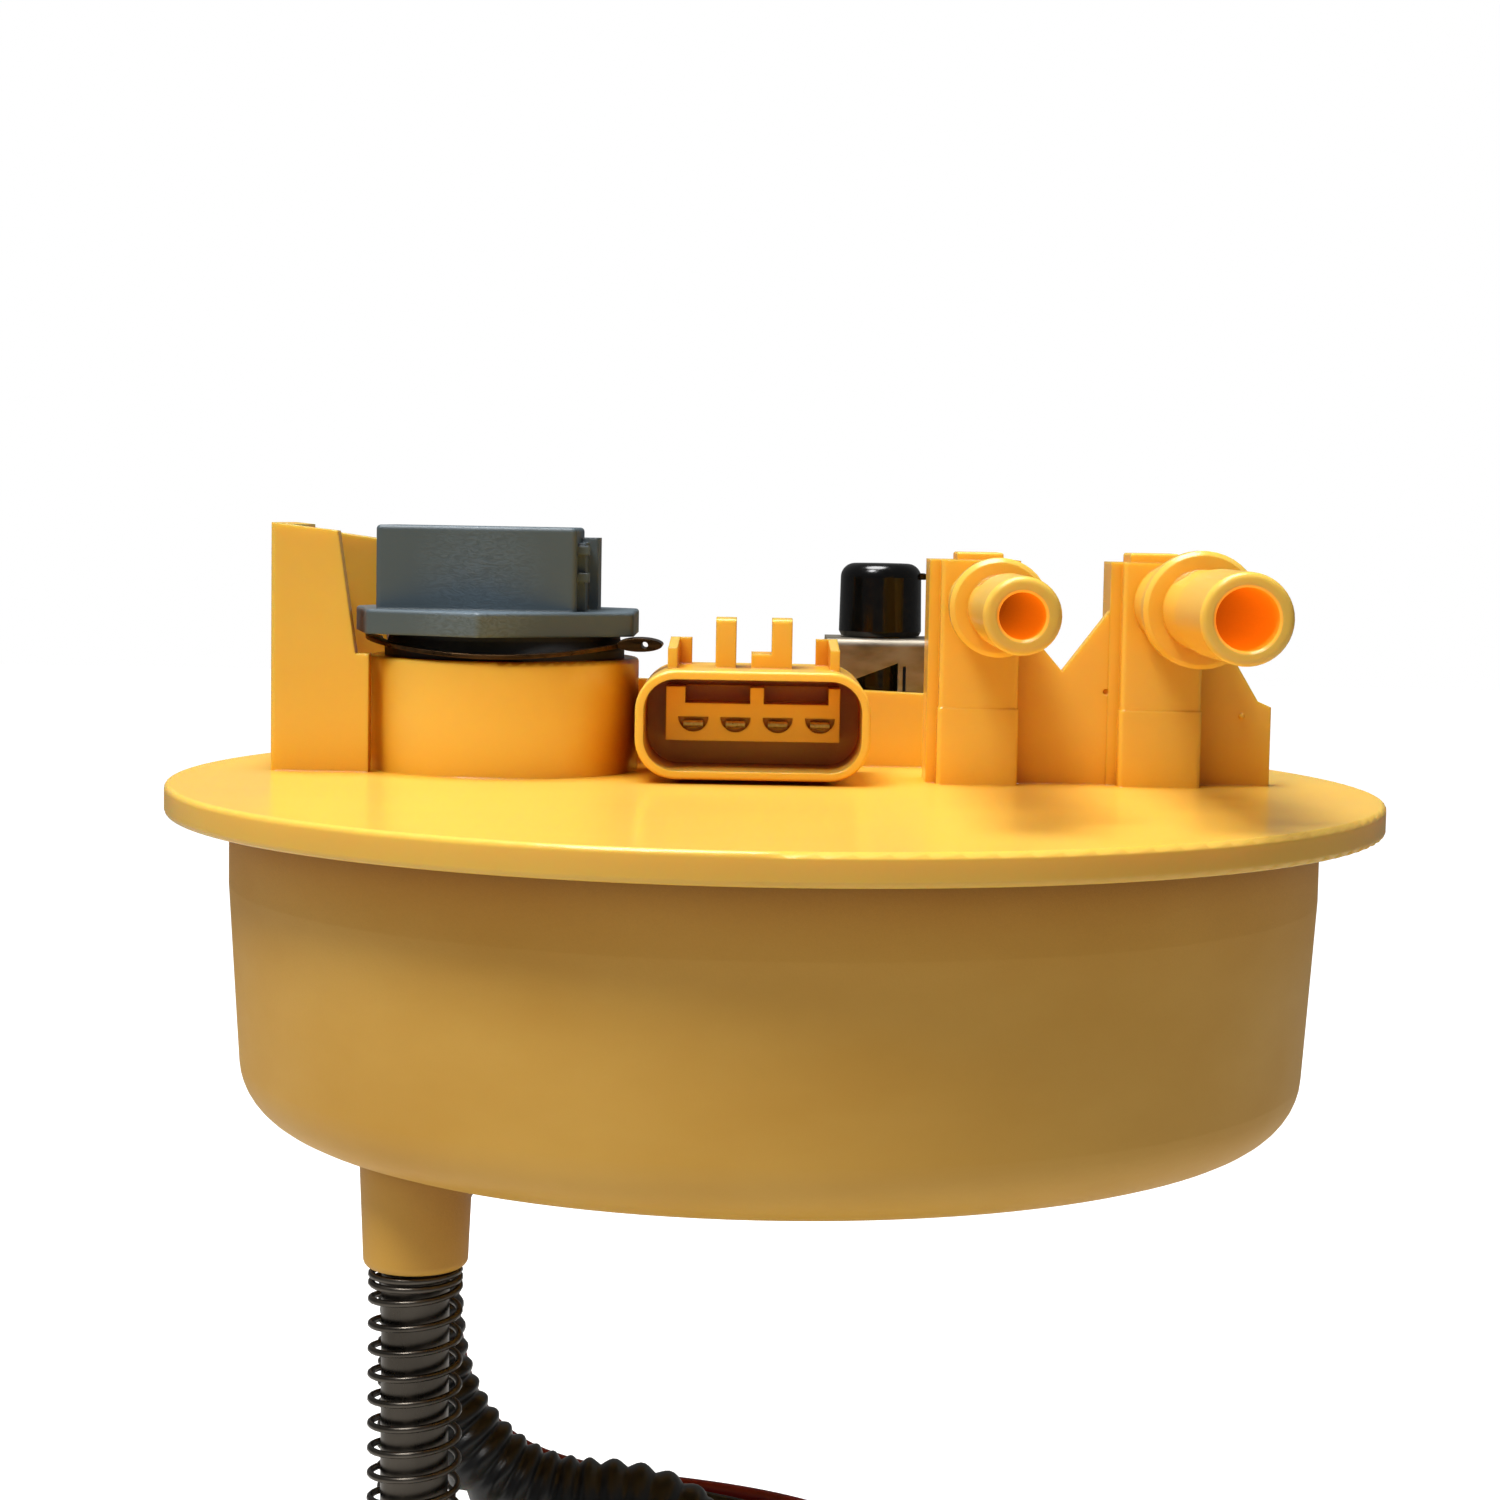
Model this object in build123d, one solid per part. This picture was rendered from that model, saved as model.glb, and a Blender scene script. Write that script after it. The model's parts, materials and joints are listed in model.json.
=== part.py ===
from build123d import *
from math import cos, hypot, pi, radians, sin, tan
import os

os.makedirs("parts", exist_ok=True)

# In-tank fuel pump module, in millimetres.
# The origin is the centre of the rim's underside, where it sits on the tank opening.
# +Z is up, out of the tank.

# Round rim and top plate
land_r = 62.8
rim_lip = 7.2
rim_r = land_r + rim_lip
rim_t = 3.4
rim_edge = 0.6

# Drum under the plate, which fills the tank opening
land_h = 8.0
drum_draft = 1.6
drum_r = land_r - drum_draft
drum_depth = 34.9
drum_corner = 7.0
drum_wall = 2.4
drum_floor = 2.6
weld_ring_h = 3.0
weld_ring_t = 1.8
tongue_h = 1.0
tongue_step = 0.5
flash_gap = 1.2
slip = 0.05
gap = 0.3

# Guide rods, one behind the other on the left
rod_r = 3.65
rod_angles = {"front": 219.1, "rear": 148.7}
rod_wall_gaps = {"front": 3.86, "rear": 0.73}
socket_top_r = 6.1
socket_end_r = 5.6
socket_len = 11.7
socket_bore = 24.0
spring_r = 5.15
spring_wire = 0.45
spring_turns = 12

# Reservoir bucket, carried by the rods and pushed down by the springs
bucket_clear = 2.8
bucket_taper = 2.5
bucket_top = -110.0
bucket_floor = -207.5
bucket_wall = 2.2
foot_h = 1.6
flute_r = 9.0
ear_r = 7.4
ear_h = 13.0
ear_top = -106.0
rod_tail = 8.0
clip_r = 5.4
clip_t = 1.0
side_flat_in = 11.0
rib_w = 1.6
rib_h = 0.9
rib_angles = (62, 92, 122, 184, 248, 272, 298)
flute_open = 10.0
ear_reach = 6.5
latch_angles = (77, 107, 184, 260, 285)
latch_drop = 9.0
latch_t = 1.4
foot_reach = 40.0
foot_r = 5.0
cover_holes = [(0.583, 121.0, 8.0), (0.641, 81.0, 9.0), (0.644, 248.7, 8.0), (0.738, 288.4, 7.0)]
cover_rib_angles = (100, 175, 268, 306)

# Pump, upright in the bucket
pump_x, pump_y = 8.0, -4.0
pump_r = 19.0
pump_wall = 1.0
pump_low = -196.0
pump_high = -118.0
inlet_h = 9.0
end_cap_h = 12.0
armature_r = 12.4
magnet_r = 17.2
magnet_t = 3.6
shaft_r = 1.6
impeller_r = 14.5
impeller_t = 3.6
outlet_r = 4.0
outlet_bore = 2.4
sleeve_t = 2.2

# Top-side features of the plate
boss_x, boss_y = -32.9, 13.4
boss_r = 16.3
boss_h = 13.6
boss_bore_r = 11.5
boss_edge = 0.5
wing_t = 2.3
wing_round = 0.7
low_wall_t = 2.0
stem_r = 8.2
vapour_bore = 2.5
plate_t = 2.9
plate_z = 16.4
plate_round = 1.0
plate_points = [(-18.3, 1.6), (-15.3, -11.4), (-1.7, -17.4), (15.9, -7.4), (15.9, 8.6), (2.9, 17.1),
                (-13.1, 13.6)]
sensor_box = (-14.4, 9.2, -10.1, 5.6)
sensor_top = 29.2
sensor_wall = 2.4
sensor_pin_root = 5.7
socket_z = 20.9
sensor_pin_z = 22.6
sensor_pin_pitch = 4.5
clip_lift = 1.1
clip_strip = 0.5
clip_wide = 1.5
post_h = 26.3
nipple_z = 21.5
small_x, large_x = 23.8, 46.4
small_bore_r, large_bore_r = 2.35, 3.2
small_pipe_y, large_pipe_y = 4.7, 6.3
small_pipe_r = 4.4
boss_pipe_r = 4.5
valve_pipe_r = 5.4
valve_bore = 1.8
neck_share = 0.42
tip_round = 0.7
mouth = 0.3
flat_turn = -32.0
post_round = 0.5
web_t = 2.2
parting_z = 9.0
parting_step = 0.12
shroud_x = -2.65
shroud_w = 27.2
shroud_h = 12.6
shroud_low = 0.5
shroud_corner = 4.7
shroud_wall = 1.0
shroud_front = -5.0
shroud_back = 15.0
block_face = 1.0
key_deep = 6.0
key_half = 10.2
key_below = 2.0
key_above = 4.3
window_w = 7.6
window_h = 1.9
window_bar = 1.6
window_deep = 5.0
recess_r = 1.75
recess_deep = 0.7
latch_w = 2.4
latch_gap = 4.2
latch_z = 18.9
latch_tab_z = 14.8
rib_y0, rib_y1 = 2.0, 9.0
rail_out = 9.5
rail_t = 1.1
rail_turn = 1.5
rail_y = 12.0
rail_z = 15.5
sink = 0.5
pin_shift = 0.45
pin_pitch = 4.95
pin_w = 2.3
pin_t = 0.8
pin_z = 6.6
pin_out = 0.5
well_w = 24.0
well_d = 8.0
port_x, port_y = 13.4, 31.0
port_r = 3.4
port_h = 21.0
cap_r = 5.25
cap_skirt_r = 4.7
cap_skirt_z = 8.5
cap_z = 16.1
cap_h = 9.2
cap_corner = 1.8
bracket_t = 1.0
bracket_deep = 12.4
bracket_z = 15.9

# Filter, regulator and valve
filter_r = 25.5
filter_angle = -77.9
filter_wall_gap = 4.66
well_gap = 13.5
filter_core_r = 13.5
filter_caps_t = 1.6
pleats = 30
pocket_r = 11.0
valve_r = 9.5
valve_drop = 14.0

top = rim_t


def save(name, solid):
    """Write one node's STEP file."""
    solid.label = name
    export_step(solid, "parts/" + name + ".step")


def rod(x, y, z0, z1, r):
    """Upright cylinder from z0 up to z1."""
    return Pos(x, y, z0) * Cylinder(r, z1 - z0, align=(Align.CENTER, Align.CENTER, Align.MIN))


def block(x0, x1, y0, y1, z0, z1):
    """Box between two corners."""
    return Pos(x0, y0, z0) * Box(x1 - x0, y1 - y0, z1 - z0, align=(Align.MIN, Align.MIN, Align.MIN))


def turned(points, x=0.0, y=0.0):
    """Solid of revolution about an upright axis, from (radius, z) points."""
    face = make_face(Polyline(*[(r, 0, z) for r, z in points], close=True))
    return Pos(x, y, 0) * revolve(face, Axis.Z)


def turned_y(points, x, z):
    """Solid of revolution about an axis along Y, from (radius, y) points."""
    face = make_face(Polyline(*[(r, y, 0) for r, y in points], close=True))
    return Pos(x, 0, z) * revolve(face, Axis.Y)


def plate_xz(points, y0, y1):
    """Upright plate with an outline of (x, z) points, from y0 back to y1."""
    face = make_face(Polyline(*[(x, y1, z) for x, z in points], close=True))
    return extrude(face, amount=y1 - y0, dir=(0, -1, 0))


def rod_x(y, z, x0, x1, r):
    """Cylinder along X from x0 to x1."""
    return Pos(x0, y, z) * Rot(0, 90, 0) * Cylinder(r, x1 - x0, align=(Align.CENTER, Align.CENTER, Align.MIN))


def pipe(x, y, z0, z1, outer, inner):
    """Upright ring from z0 up to z1."""
    return rod(x, y, z0, z1, outer) - rod(x, y, z0, z1, inner)


def slab(z0, z1):
    """Everything between two heights."""
    reach = 2 * rim_r
    return block(-reach, reach, -reach, reach, z0, z1)


def group(solids):
    """Separate solids that share one node."""
    return Compound(children=list(solids))


# Positions that follow from the sizes above
drum_low = -drum_depth
drum_inner_r = drum_r - drum_wall


def polar(reach, angle):
    """Point at that distance and angle in degrees from the middle."""
    return reach * cos(radians(angle)), reach * sin(radians(angle))


rod_places = {}
for name, angle in rod_angles.items():
    rod_places[name] = polar(drum_inner_r - socket_top_r - rod_wall_gaps[name], angle)
rod_xy = list(rod_places.values())
filter_x, filter_y = polar(drum_inner_r - filter_r - filter_wall_gap, filter_angle)
well_y = filter_y + filter_r + well_gap
bucket_r = land_r - bucket_clear
bucket_foot_r = bucket_r - bucket_taper
side_flat_x = bucket_r - side_flat_in
socket_end = drum_low - socket_len
ear_low = ear_top - ear_h
rod_end = ear_low - rod_tail
valve_x, valve_y = port_x, port_y
small_post_x0, small_post_x1 = small_x - 4.7, small_x + 4.5
large_post_x0, large_post_x1 = large_x - 5.9, large_x + 3.5
pin_xs = [shroud_x + pin_shift + pin_pitch * (i - 1.5) for i in range(4)]
well_x = shroud_x
hose_x, hose_y = -40.9, -4.0
barb_end = drum_low - 12.0


# Terminals: four flat pins that run back through the connector and down through the plate
def terminal(x):
    low = drum_low - 9.0
    flat = block(x - pin_w / 2, x + pin_w / 2, block_face - pin_out, well_y + pin_t / 2,
                 top + pin_z - pin_t / 2, top + pin_z + pin_t / 2)
    down = block(x - pin_w / 2, x + pin_w / 2, well_y - pin_t / 2, well_y + pin_t / 2,
                 low, top + pin_z + pin_t / 2)
    tip = flat.edges().filter_by(Axis.X).group_by(Axis.Y)[0]
    return chamfer(tip, pin_t * 0.3) + down


terminals = [terminal(x) for x in pin_xs]


# Connector shroud: a rounded tube that faces the front, with a keyed block at its back
def rounded_bar(w, h, r, x, z, y0, y1):
    face = Plane.XZ.offset(-y1) * (Pos(x, z) * RectangleRounded(w, h, r))
    return extrude(face, amount=y1 - y0)


def connector_shroud():
    mid_z = top + shroud_low + shroud_h / 2
    body = rounded_bar(shroud_w, shroud_h, shroud_corner, shroud_x, mid_z, shroud_front, shroud_back)
    body = fillet(body.edges().group_by(Axis.Y)[0], shroud_wall * 0.35)
    foot_half = shroud_w / 3
    body += block(shroud_x - foot_half, shroud_x + foot_half, block_face + 2, shroud_back, top, mid_z)
    inner_w = shroud_w - 2 * shroud_wall
    inner_h = shroud_h - 2 * shroud_wall
    cavity = rounded_bar(inner_w, inner_h, shroud_corner - shroud_wall, shroud_x, mid_z,
                         shroud_front - 1, block_face + key_deep)
    body = body - cavity + terminal_block()
    return body + latch_ribs() + side_rails()


# Block at the back of the shroud, which carries the pins in half-round recesses under two windows
def terminal_block():
    low, high = top + pin_z - key_below, top + pin_z + key_above
    key = block(shroud_x - key_half, shroud_x + key_half, block_face, block_face + key_deep + 2, low, high)
    for side in (-1, 1):
        x = shroud_x + pin_shift + side * (window_w + window_bar) / 2
        key -= block(x - window_w / 2, x + window_w / 2, block_face - 1, block_face + window_deep,
                     high - window_h, high + 1)
    for x in pin_xs:
        middle = top + pin_z + pin_t
        recess = Pos(x, block_face, middle) * Rot(90, 0, 0) * Cylinder(recess_r, 2 * recess_deep)
        key -= recess & slab(middle - recess_r, middle)
    return key


# Ribs and a tab on the shroud's roof, which the plug's latch catches
def latch_ribs():
    roof = top + shroud_low + shroud_h
    tab_x = shroud_x + latch_gap / 2
    ribs = block(tab_x - latch_w, tab_x, rib_y0, rib_y1, roof - sink, top + latch_tab_z)
    for x in (shroud_x - latch_gap / 2 - latch_w, shroud_x + latch_gap / 2):
        rib = block(x, x + latch_w, rib_y0, rib_y1, roof - sink, top + latch_z)
        ribs += fillet(rib.edges().filter_by(Axis.X).group_by(Axis.Z)[-1], 0.4)
    return ribs


# Rails on both sides of the roof: a thin wall that rises to the back and turns inwards there
def side_rails():
    roof = top + shroud_low + shroud_h
    foot_z, rail_top = roof - sink, top + rail_z + 0.8
    profile = [(0, foot_z), (rail_y, foot_z), (rail_y, rail_top), (2, top + rail_z), (0, top + rail_z)]
    rails = []
    for side in (-1, 1):
        x = shroud_x + side * rail_out - rail_t / 2
        face = make_face(Polyline(*[(x, y, z) for y, z in profile], close=True))
        inner = x + rail_t if side < 0 else x - rail_turn
        turn = block(inner, inner + rail_turn, rail_y - rail_t, rail_y, foot_z, rail_top)
        rails.append(extrude(face, amount=rail_t, dir=(1, 0, 0)) + turn)
    return rails


# Nipple: a stepped tube that points at the front, with a collar that stops the quick connector
def nipple(x, tip_r, neck_r, collar_r, collar_y, tip_y, bore_r, back_y):
    z = top + nipple_z
    neck_end = collar_y + (tip_y - collar_y) * neck_share
    outline = [(0, back_y), (tip_r, back_y), (tip_r, collar_y + 1.6), (collar_r, collar_y + 1.1),
               (collar_r, collar_y - 0.7), (collar_r - 0.5, collar_y - 1.2), (neck_r, collar_y - 1.2),
               (neck_r, neck_end), (tip_r, neck_end - 0.5), (tip_r, tip_y), (0, tip_y)]
    body = turned_y(outline, x, z)
    body = fillet(body.edges().filter_by(GeomType.CIRCLE).group_by(Axis.Y)[0], tip_round)
    # flat on the neck, where the mould parts
    flat = Pos(x, (collar_y + neck_end) / 2 - 0.6, z) * Rot(0, flat_turn, 0) * Pos(0, 0, neck_r + 0.75)
    body -= flat * Box(2 * neck_r, collar_y - neck_end - 2.4, 2.0)
    far = back_y - bore_r
    bore = [(0, far), (bore_r, far), (bore_r, tip_y + mouth), (bore_r + mouth, tip_y),
            (bore_r + mouth, tip_y - 1), (0, tip_y - 1)]
    return body, turned_y(bore, x, z)


small_nipple, small_bore = nipple(small_x, 3.95, 3.5, 5.4, -22.8, -50.1, small_bore_r, 3.0)
large_nipple, large_bore = nipple(large_x, 4.75, 4.45, 6.5, -18.6, -48.1, large_bore_r, 4.0)


# Posts: upright boxes with a thin back plate, a key on top and the nipple's bore turned down inside
def post(x0, x1, y0, depth, key_x0, key_x1, key_h):
    """Upright box with a thin plate on its left, a key on top and a faint step where the slide ended."""
    column = block(x0, x1, y0, y0 + depth, top - 1, top + post_h)
    column = fillet(column.edges().filter_by(Axis.Z).group_by(Axis.Y)[0], post_round)
    step = block(x0 - parting_step, x1 + parting_step, y0 - parting_step, y0 + depth,
                 top - 1, top + parting_z)
    column += fillet(step.edges().filter_by(Axis.Z).group_by(Axis.Y)[0], post_round)
    column += block(x0 - 1.3, x0 + 1, y0 + 2.2, y0 + depth, top - 1, top + post_h)
    key = block(key_x0, key_x1, y0 + 1.2, y0 + depth - 1.5, top + post_h - sink, top + post_h + key_h)
    return column + fillet(key.edges().group_by(Axis.Z)[-1], 0.3)


def hose_posts():
    small = post(small_post_x0, small_post_x1, 0.0, 9.4, 20.9, 26.3, 0.9)
    large = post(large_post_x0, large_post_x1, 1.1, 9.3, 41.3, 47.0, 1.1)
    middle_y, right_y = 3.6, 5.4
    left_x, right_x = small_post_x1 - 1, large_post_x0 + 1
    middle = plate_xz([(left_x, top - 1), (right_x, top - 1), (right_x, top + 23.6), (33.8, top + 13.3),
                       (left_x, top + 20.8)], middle_y, middle_y + web_t)
    root_x, web_x = large_post_x1 - 1, large_post_x1 + 9.0
    right = plate_xz([(root_x, top - 1), (web_x, top - 1), (web_x, top + 9.4), (web_x - 1.6, top + 10.1),
                      (root_x, top + 24.0)], right_y, right_y + web_t)
    # ejector nubs on the webs
    nubs = [Pos(large_post_x0 - 1.5, middle_y, top + 11.0) * Sphere(0.35),
            Pos(web_x - 3.5, right_y, top + 8.3) * Sphere(0.35)]
    return small + large + middle + right + nubs


# Guard wall: two tall wings joined by a side wall round the sensor
def guard_wall():
    """Two tall wings joined by a side wall, rounded where they meet."""
    left_x, right_x, front_y, rear_y = -59.6, -47.0, 2.8, 24.0
    walls = block(left_x, right_x, front_y, rear_y, top - 1, top + 30.0)
    walls = fillet(walls.edges().filter_by(Axis.Z).group_by(Axis.X)[0], wing_round)
    walls -= block(left_x + wing_t, right_x + 1, front_y + wing_t, rear_y - wing_t, top - 2, top + 31.0)
    front = plate_xz([(-60.0, top - 1), (-48.0, top - 1), (-48.0, top + 14.0), (-49.6, top + 14.0),
                      (-51.7, top + 28.4), (-60.0, top + 29.3)], front_y, front_y + wing_t)
    side = plate_xz([(-60.0, top - 1), (-57.0, top - 1), (-57.0, top + 29.0), (-60.0, top + 29.3)],
                    front_y + wing_t, rear_y - wing_t)
    rear = plate_xz([(-60.0, top - 1), (-47.0, top - 1), (-49.3, top + 27.4), (-60.0, top + 28.8)],
                    rear_y - wing_t, rear_y)
    return walls & (front + side + rear)


# Capped port: a short tube behind the connector
def capped_port():
    outline = [(0, top - 1), (port_r + 1.6, top - 1), (port_r + 1.6, top + 3), (port_r, top + 4),
               (port_r, top + port_h - 3), (port_r + 0.4, top + port_h - 2), (port_r - 0.6, top + port_h),
               (0, top + port_h)]
    return turned(outline, port_x, port_y)


def well(z0, z1, grow):
    """Upright bar that carries the terminals down through the drum, widened by grow on every side."""
    half_w, half_d = well_w / 2 + grow, well_d / 2 + grow
    return block(well_x - half_w, well_x + half_w, well_y - half_d, well_y + half_d, z0, z1)


def make_flange():
    body = rod(0, 0, 0, rim_t, rim_r)
    body = fillet(body.edges().filter_by(GeomType.CIRCLE), rim_edge)
    ring_r = land_r - drum_wall - slip
    body += rod(0, 0, -weld_ring_h, 0, ring_r) - rod(0, 0, -weld_ring_h, 0, ring_r - weld_ring_t)
    boss = rod(boss_x, boss_y, top - 1, top + boss_h, boss_r)
    body += fillet(boss.edges().filter_by(GeomType.CIRCLE).group_by(Axis.Z)[-1], boss_edge)
    body += guard_wall()
    body += hose_posts()
    body += small_nipple + large_nipple
    body += connector_shroud()
    body += capped_port()
    left_x, right_x, wall_y = -22.0, small_post_x0 + 0.4, 24.6
    body += plate_xz([(left_x, top - 1), (right_x, top - 1), (right_x, top + 9.2), (left_x, top + 10.7)],
                     wall_y - low_wall_t, wall_y)
    # tubes and the wiring well that pass down through the drum
    pipe_low = drum_low - 1.5
    body += rod(boss_x, boss_y, pipe_low, 1, boss_pipe_r)
    body += rod(small_x, small_pipe_y, pipe_low, 1, small_pipe_r)
    body += well(pipe_low, 1, 0)
    body += rod(valve_x, valve_y, pipe_low, 1, valve_pipe_r)
    # groove that takes the drum's tongue, with room for the weld's flash outside it
    trap_r = land_r + flash_gap
    body -= turned([(ring_r, 0), (trap_r + tongue_h / 2, 0), (trap_r, tongue_h), (ring_r, tongue_h)])
    # bores
    body -= rod(boss_x, boss_y, top + 2.0, top + boss_h + 1, boss_bore_r)
    body -= rod(boss_x, boss_y, pipe_low - 1, top + 3, vapour_bore)
    body -= small_bore + large_bore
    body -= rod(small_x, small_pipe_y, pipe_low - 1, top + nipple_z, small_bore_r)
    body -= rod(large_x, large_pipe_y, -weld_ring_h - 1, top + nipple_z, large_bore_r)
    body -= rod(port_x, port_y, pipe_low - 1, top + port_h + 1, valve_bore)
    for pin in terminals:
        body -= pin
    return body


# Drum: a moulded cup welded under the plate, with the rod sockets and the hose barb on its floor
def make_drum():
    cup = turned([(0, tongue_h), (land_r - tongue_step, tongue_h), (land_r - tongue_step, 0), (land_r, 0),
                  (land_r, -land_h), (drum_r, drum_low), (0, drum_low)])
    cup = fillet(cup.edges().filter_by(GeomType.CIRCLE).sort_by(Axis.Z)[0], drum_corner)
    inner_low = drum_low + drum_floor
    hollow = turned([(0, tongue_h), (land_r - drum_wall, tongue_h), (land_r - drum_wall, -land_h),
                     (drum_r - drum_wall, inner_low), (0, inner_low)])
    hollow = fillet(hollow.edges().filter_by(GeomType.CIRCLE).sort_by(Axis.Z)[0], drum_corner - drum_wall)
    cup -= hollow
    for x, y in rod_xy:
        taper = [(0, drum_low), (socket_top_r, drum_low), (socket_end_r, socket_end), (0, socket_end)]
        socket = turned(taper, x, y)
        socket = fillet(socket.edges().filter_by(GeomType.CIRCLE).sort_by(Axis.Z)[0], 0.9)
        cup += socket
        cup += rod(x, y, drum_low + 1, socket_end + socket_bore + 2.5, socket_top_r)
    # filter seat and the regulator's pocket
    cup += rod(filter_x, filter_y, inner_low - 1, inner_low + 17.0, pocket_r + 1.8)
    cup -= rod(filter_x, filter_y, drum_low - 1, inner_low + 15.0, pocket_r)
    cup -= rod(filter_x, filter_y, inner_low, inner_low + 18.0, 4.0)
    # barb for the supply hose
    cup += turned([(0, inner_low - 1), (5.6, inner_low - 1), (5.6, drum_low - 1), (4.0, drum_low - 2),
                   (4.0, barb_end + 3), (4.5, barb_end + 3), (3.6, barb_end), (0, barb_end)], hose_x, hose_y)
    cup -= rod(hose_x, hose_y, barb_end - 1, inner_low + 1, 2.4)
    # clearance holes for the tubes that pass through
    cup -= rod(boss_x, boss_y, drum_low - 1, inner_low + 1, boss_pipe_r + slip)
    cup -= rod(small_x, small_pipe_y, drum_low - 1, inner_low + 1, small_pipe_r + slip)
    cup -= rod(valve_x, valve_y, drum_low - 1, inner_low + 1, valve_pipe_r + slip)
    cup -= well(drum_low - 1, inner_low + 1, slip)
    for x, y in rod_xy:
        cup -= rod(x, y, socket_end - 1, socket_end + socket_bore, rod_r)
    return cup


# Pressure sensor: hexagonal plate, connector box on top and a stem in the boss
def make_sensor():
    z0 = top + plate_z
    z1 = z0 + plate_t
    outline = Polyline(*[(boss_x + x, boss_y + y, z0) for x, y in plate_points], close=True)
    plate = extrude(make_face(outline), amount=plate_t, dir=(0, 0, 1))
    plate = fillet(plate.edges().filter_by(Axis.Z), plate_round)
    plate = fillet(plate.edges().group_by(Axis.Z)[-1], 0.4)
    body = plate + rod(boss_x, boss_y, top + 4.5, z0 + 1, stem_r)
    x0, x1 = boss_x + sensor_box[0], boss_x + sensor_box[1]
    y0, y1 = boss_y + sensor_box[2], boss_y + sensor_box[3]
    box = block(x0, x1, y0, y1, z1 - sink, top + sensor_top)
    box = fillet(box.edges().filter_by(Axis.Z), 0.6)
    box = fillet(box.edges().group_by(Axis.Z)[-1], 0.5)
    body += box
    # stepped right side with two small catches
    body += block(x1 - 0.3, x1 + 0.9, y0 + 2.7, y1 - 1.5, z1 - sink, top + sensor_top - 1.8)
    body += block(x1 - 0.3, x1 + 2.1, y0 + 8.7, y1, z1 - sink, top + sensor_top - 1.2)
    for z in (26.0, 22.8):
        body += block(x1 - 0.3, x1 + 1.4, y0 + 1.7, y0 + 3.7, top + z, top + z + 1.1)
    body -= block(x0 + sensor_wall, x1 - sensor_wall, y0 + sensor_pin_root, y1 + 1, top + socket_z,
                  top + sensor_top - sensor_wall + 0.2)
    body -= rod(boss_x, boss_y, top + 4.0, top + 12.0, vapour_bore)
    for pin in sensor_pin_list():
        body -= pin
    return body


def sensor_pin_list():
    middle_x = boss_x + (sensor_box[0] + sensor_box[1]) / 2
    y0 = boss_y + sensor_box[2] + 2.7
    pins = []
    for i in range(3):
        x = middle_x + sensor_pin_pitch * (i - 1)
        pins.append(block(x - 0.9, x + 0.9, y0, y0 + 10.0, top + sensor_pin_z, top + sensor_pin_z + pin_t))
    return pins


def make_sensor_seal():
    z1 = top + plate_z
    lip_r = boss_r - clip_wide - gap
    outline = [(stem_r, top + 3.0), (boss_bore_r, top + 3.0), (boss_bore_r, top + boss_h),
               (lip_r, top + boss_h), (lip_r, top + boss_h + 0.9), (lip_r - 0.5, z1 - 0.6), (lip_r - 0.5, z1),
               (stem_r, z1)]
    return turned(outline, boss_x, boss_y)


# Spring clip under the sensor: bowed strip with a curled end on the right
def make_sensor_clip():
    z0 = top + boss_h + clip_lift
    reach = boss_r + 1
    low, high = z0 - clip_strip, z0 + 1.5
    bow = [(-reach, high), (-reach * 0.4, z0), (reach * 0.4, z0), (reach, high)]
    upper = Spline(*[(boss_x + x, boss_y, z) for x, z in bow])
    lower = Spline(*[(boss_x + x, boss_y, z - clip_strip) for x, z in bow])
    ends = [Line(upper @ 0, lower @ 0), Line(upper @ 1, lower @ 1)]
    strip = extrude(make_face([upper, lower] + ends), amount=boss_r + 2, dir=(0, -1, 0))
    strip = strip & pipe(boss_x, boss_y, low - 1, high + 1, boss_r + 0.5, boss_r - clip_wide)
    # the end rolled over into a flat leaf, open at its root
    leaf_x, leaf_y = boss_x + boss_r + 0.4, boss_y - 4.0
    leaf = extrude(Plane.XZ.offset(-leaf_y) * (Pos(leaf_x, z0 + 0.8) * Ellipse(2.7, 0.8)), amount=5.0)
    leaf -= Pos(leaf_x + 0.6, leaf_y - 3.0, z0 + 0.8) * Rot(90, 0, 0) * Cylinder(0.4, 12)
    return strip + (leaf - rod(boss_x, boss_y, low - 1, high + 1, boss_r - clip_wide))


def make_port_bracket():
    y0, y1 = port_y - bracket_deep / 2, port_y + bracket_deep / 2
    x0, x1 = port_x - 6.9, port_x + 6.2
    roof = top + bracket_z
    body = block(x0, x1, y0, y1, top, roof)
    body = fillet(body.edges().filter_by(Axis.X).group_by(Axis.Z)[-1], bracket_t)
    body -= block(x0 - 1, x1 + 1, y0 + bracket_t, y1 - bracket_t, top - 1, roof - bracket_t)
    # three-cornered window and a slot in the front
    left_x, right_x, sill = port_x - 3.8, port_x + 2.1, top + 5.0
    front = y0 + bracket_t + 0.5
    body -= plate_xz([(left_x, top + 10.6), (right_x, top + 12.9), (right_x, sill), (left_x, sill)],
                     y0 - 1, front)
    body -= block(right_x + 0.6, right_x + 1.0, y0 - 1, front, sill, top + 12.5)
    body -= rod(port_x, port_y, roof - 3, roof + 1, cap_skirt_r + gap)
    return body - rod(port_x, port_y, top - 1, top + 5.5, port_r + 1.6)


def make_dust_cap():
    z0, z1 = top + cap_z, top + cap_z + cap_h
    outline = [(0, z0), (cap_r - 0.3, z0), (cap_r, z0 + 0.6), (cap_r - 0.15, z1), (0, z1)]
    cap = turned(outline, port_x, port_y)
    cap = fillet(cap.edges().filter_by(GeomType.CIRCLE).group_by(Axis.Z)[-1], cap_corner)
    cap += rod(port_x, port_y, top + cap_skirt_z, z0 + 1, cap_skirt_r)
    nub = Pos(port_x + cap_r - 0.1, port_y, z1 - 1.6) * Box(1.2, 3.0, 0.8)
    cap += fillet(nub.edges().filter_by(Axis.Y), 0.25)
    return cap - rod(port_x, port_y, top + cap_skirt_z - 1, top + port_h + gap, port_r + 0.4 + gap)


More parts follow.
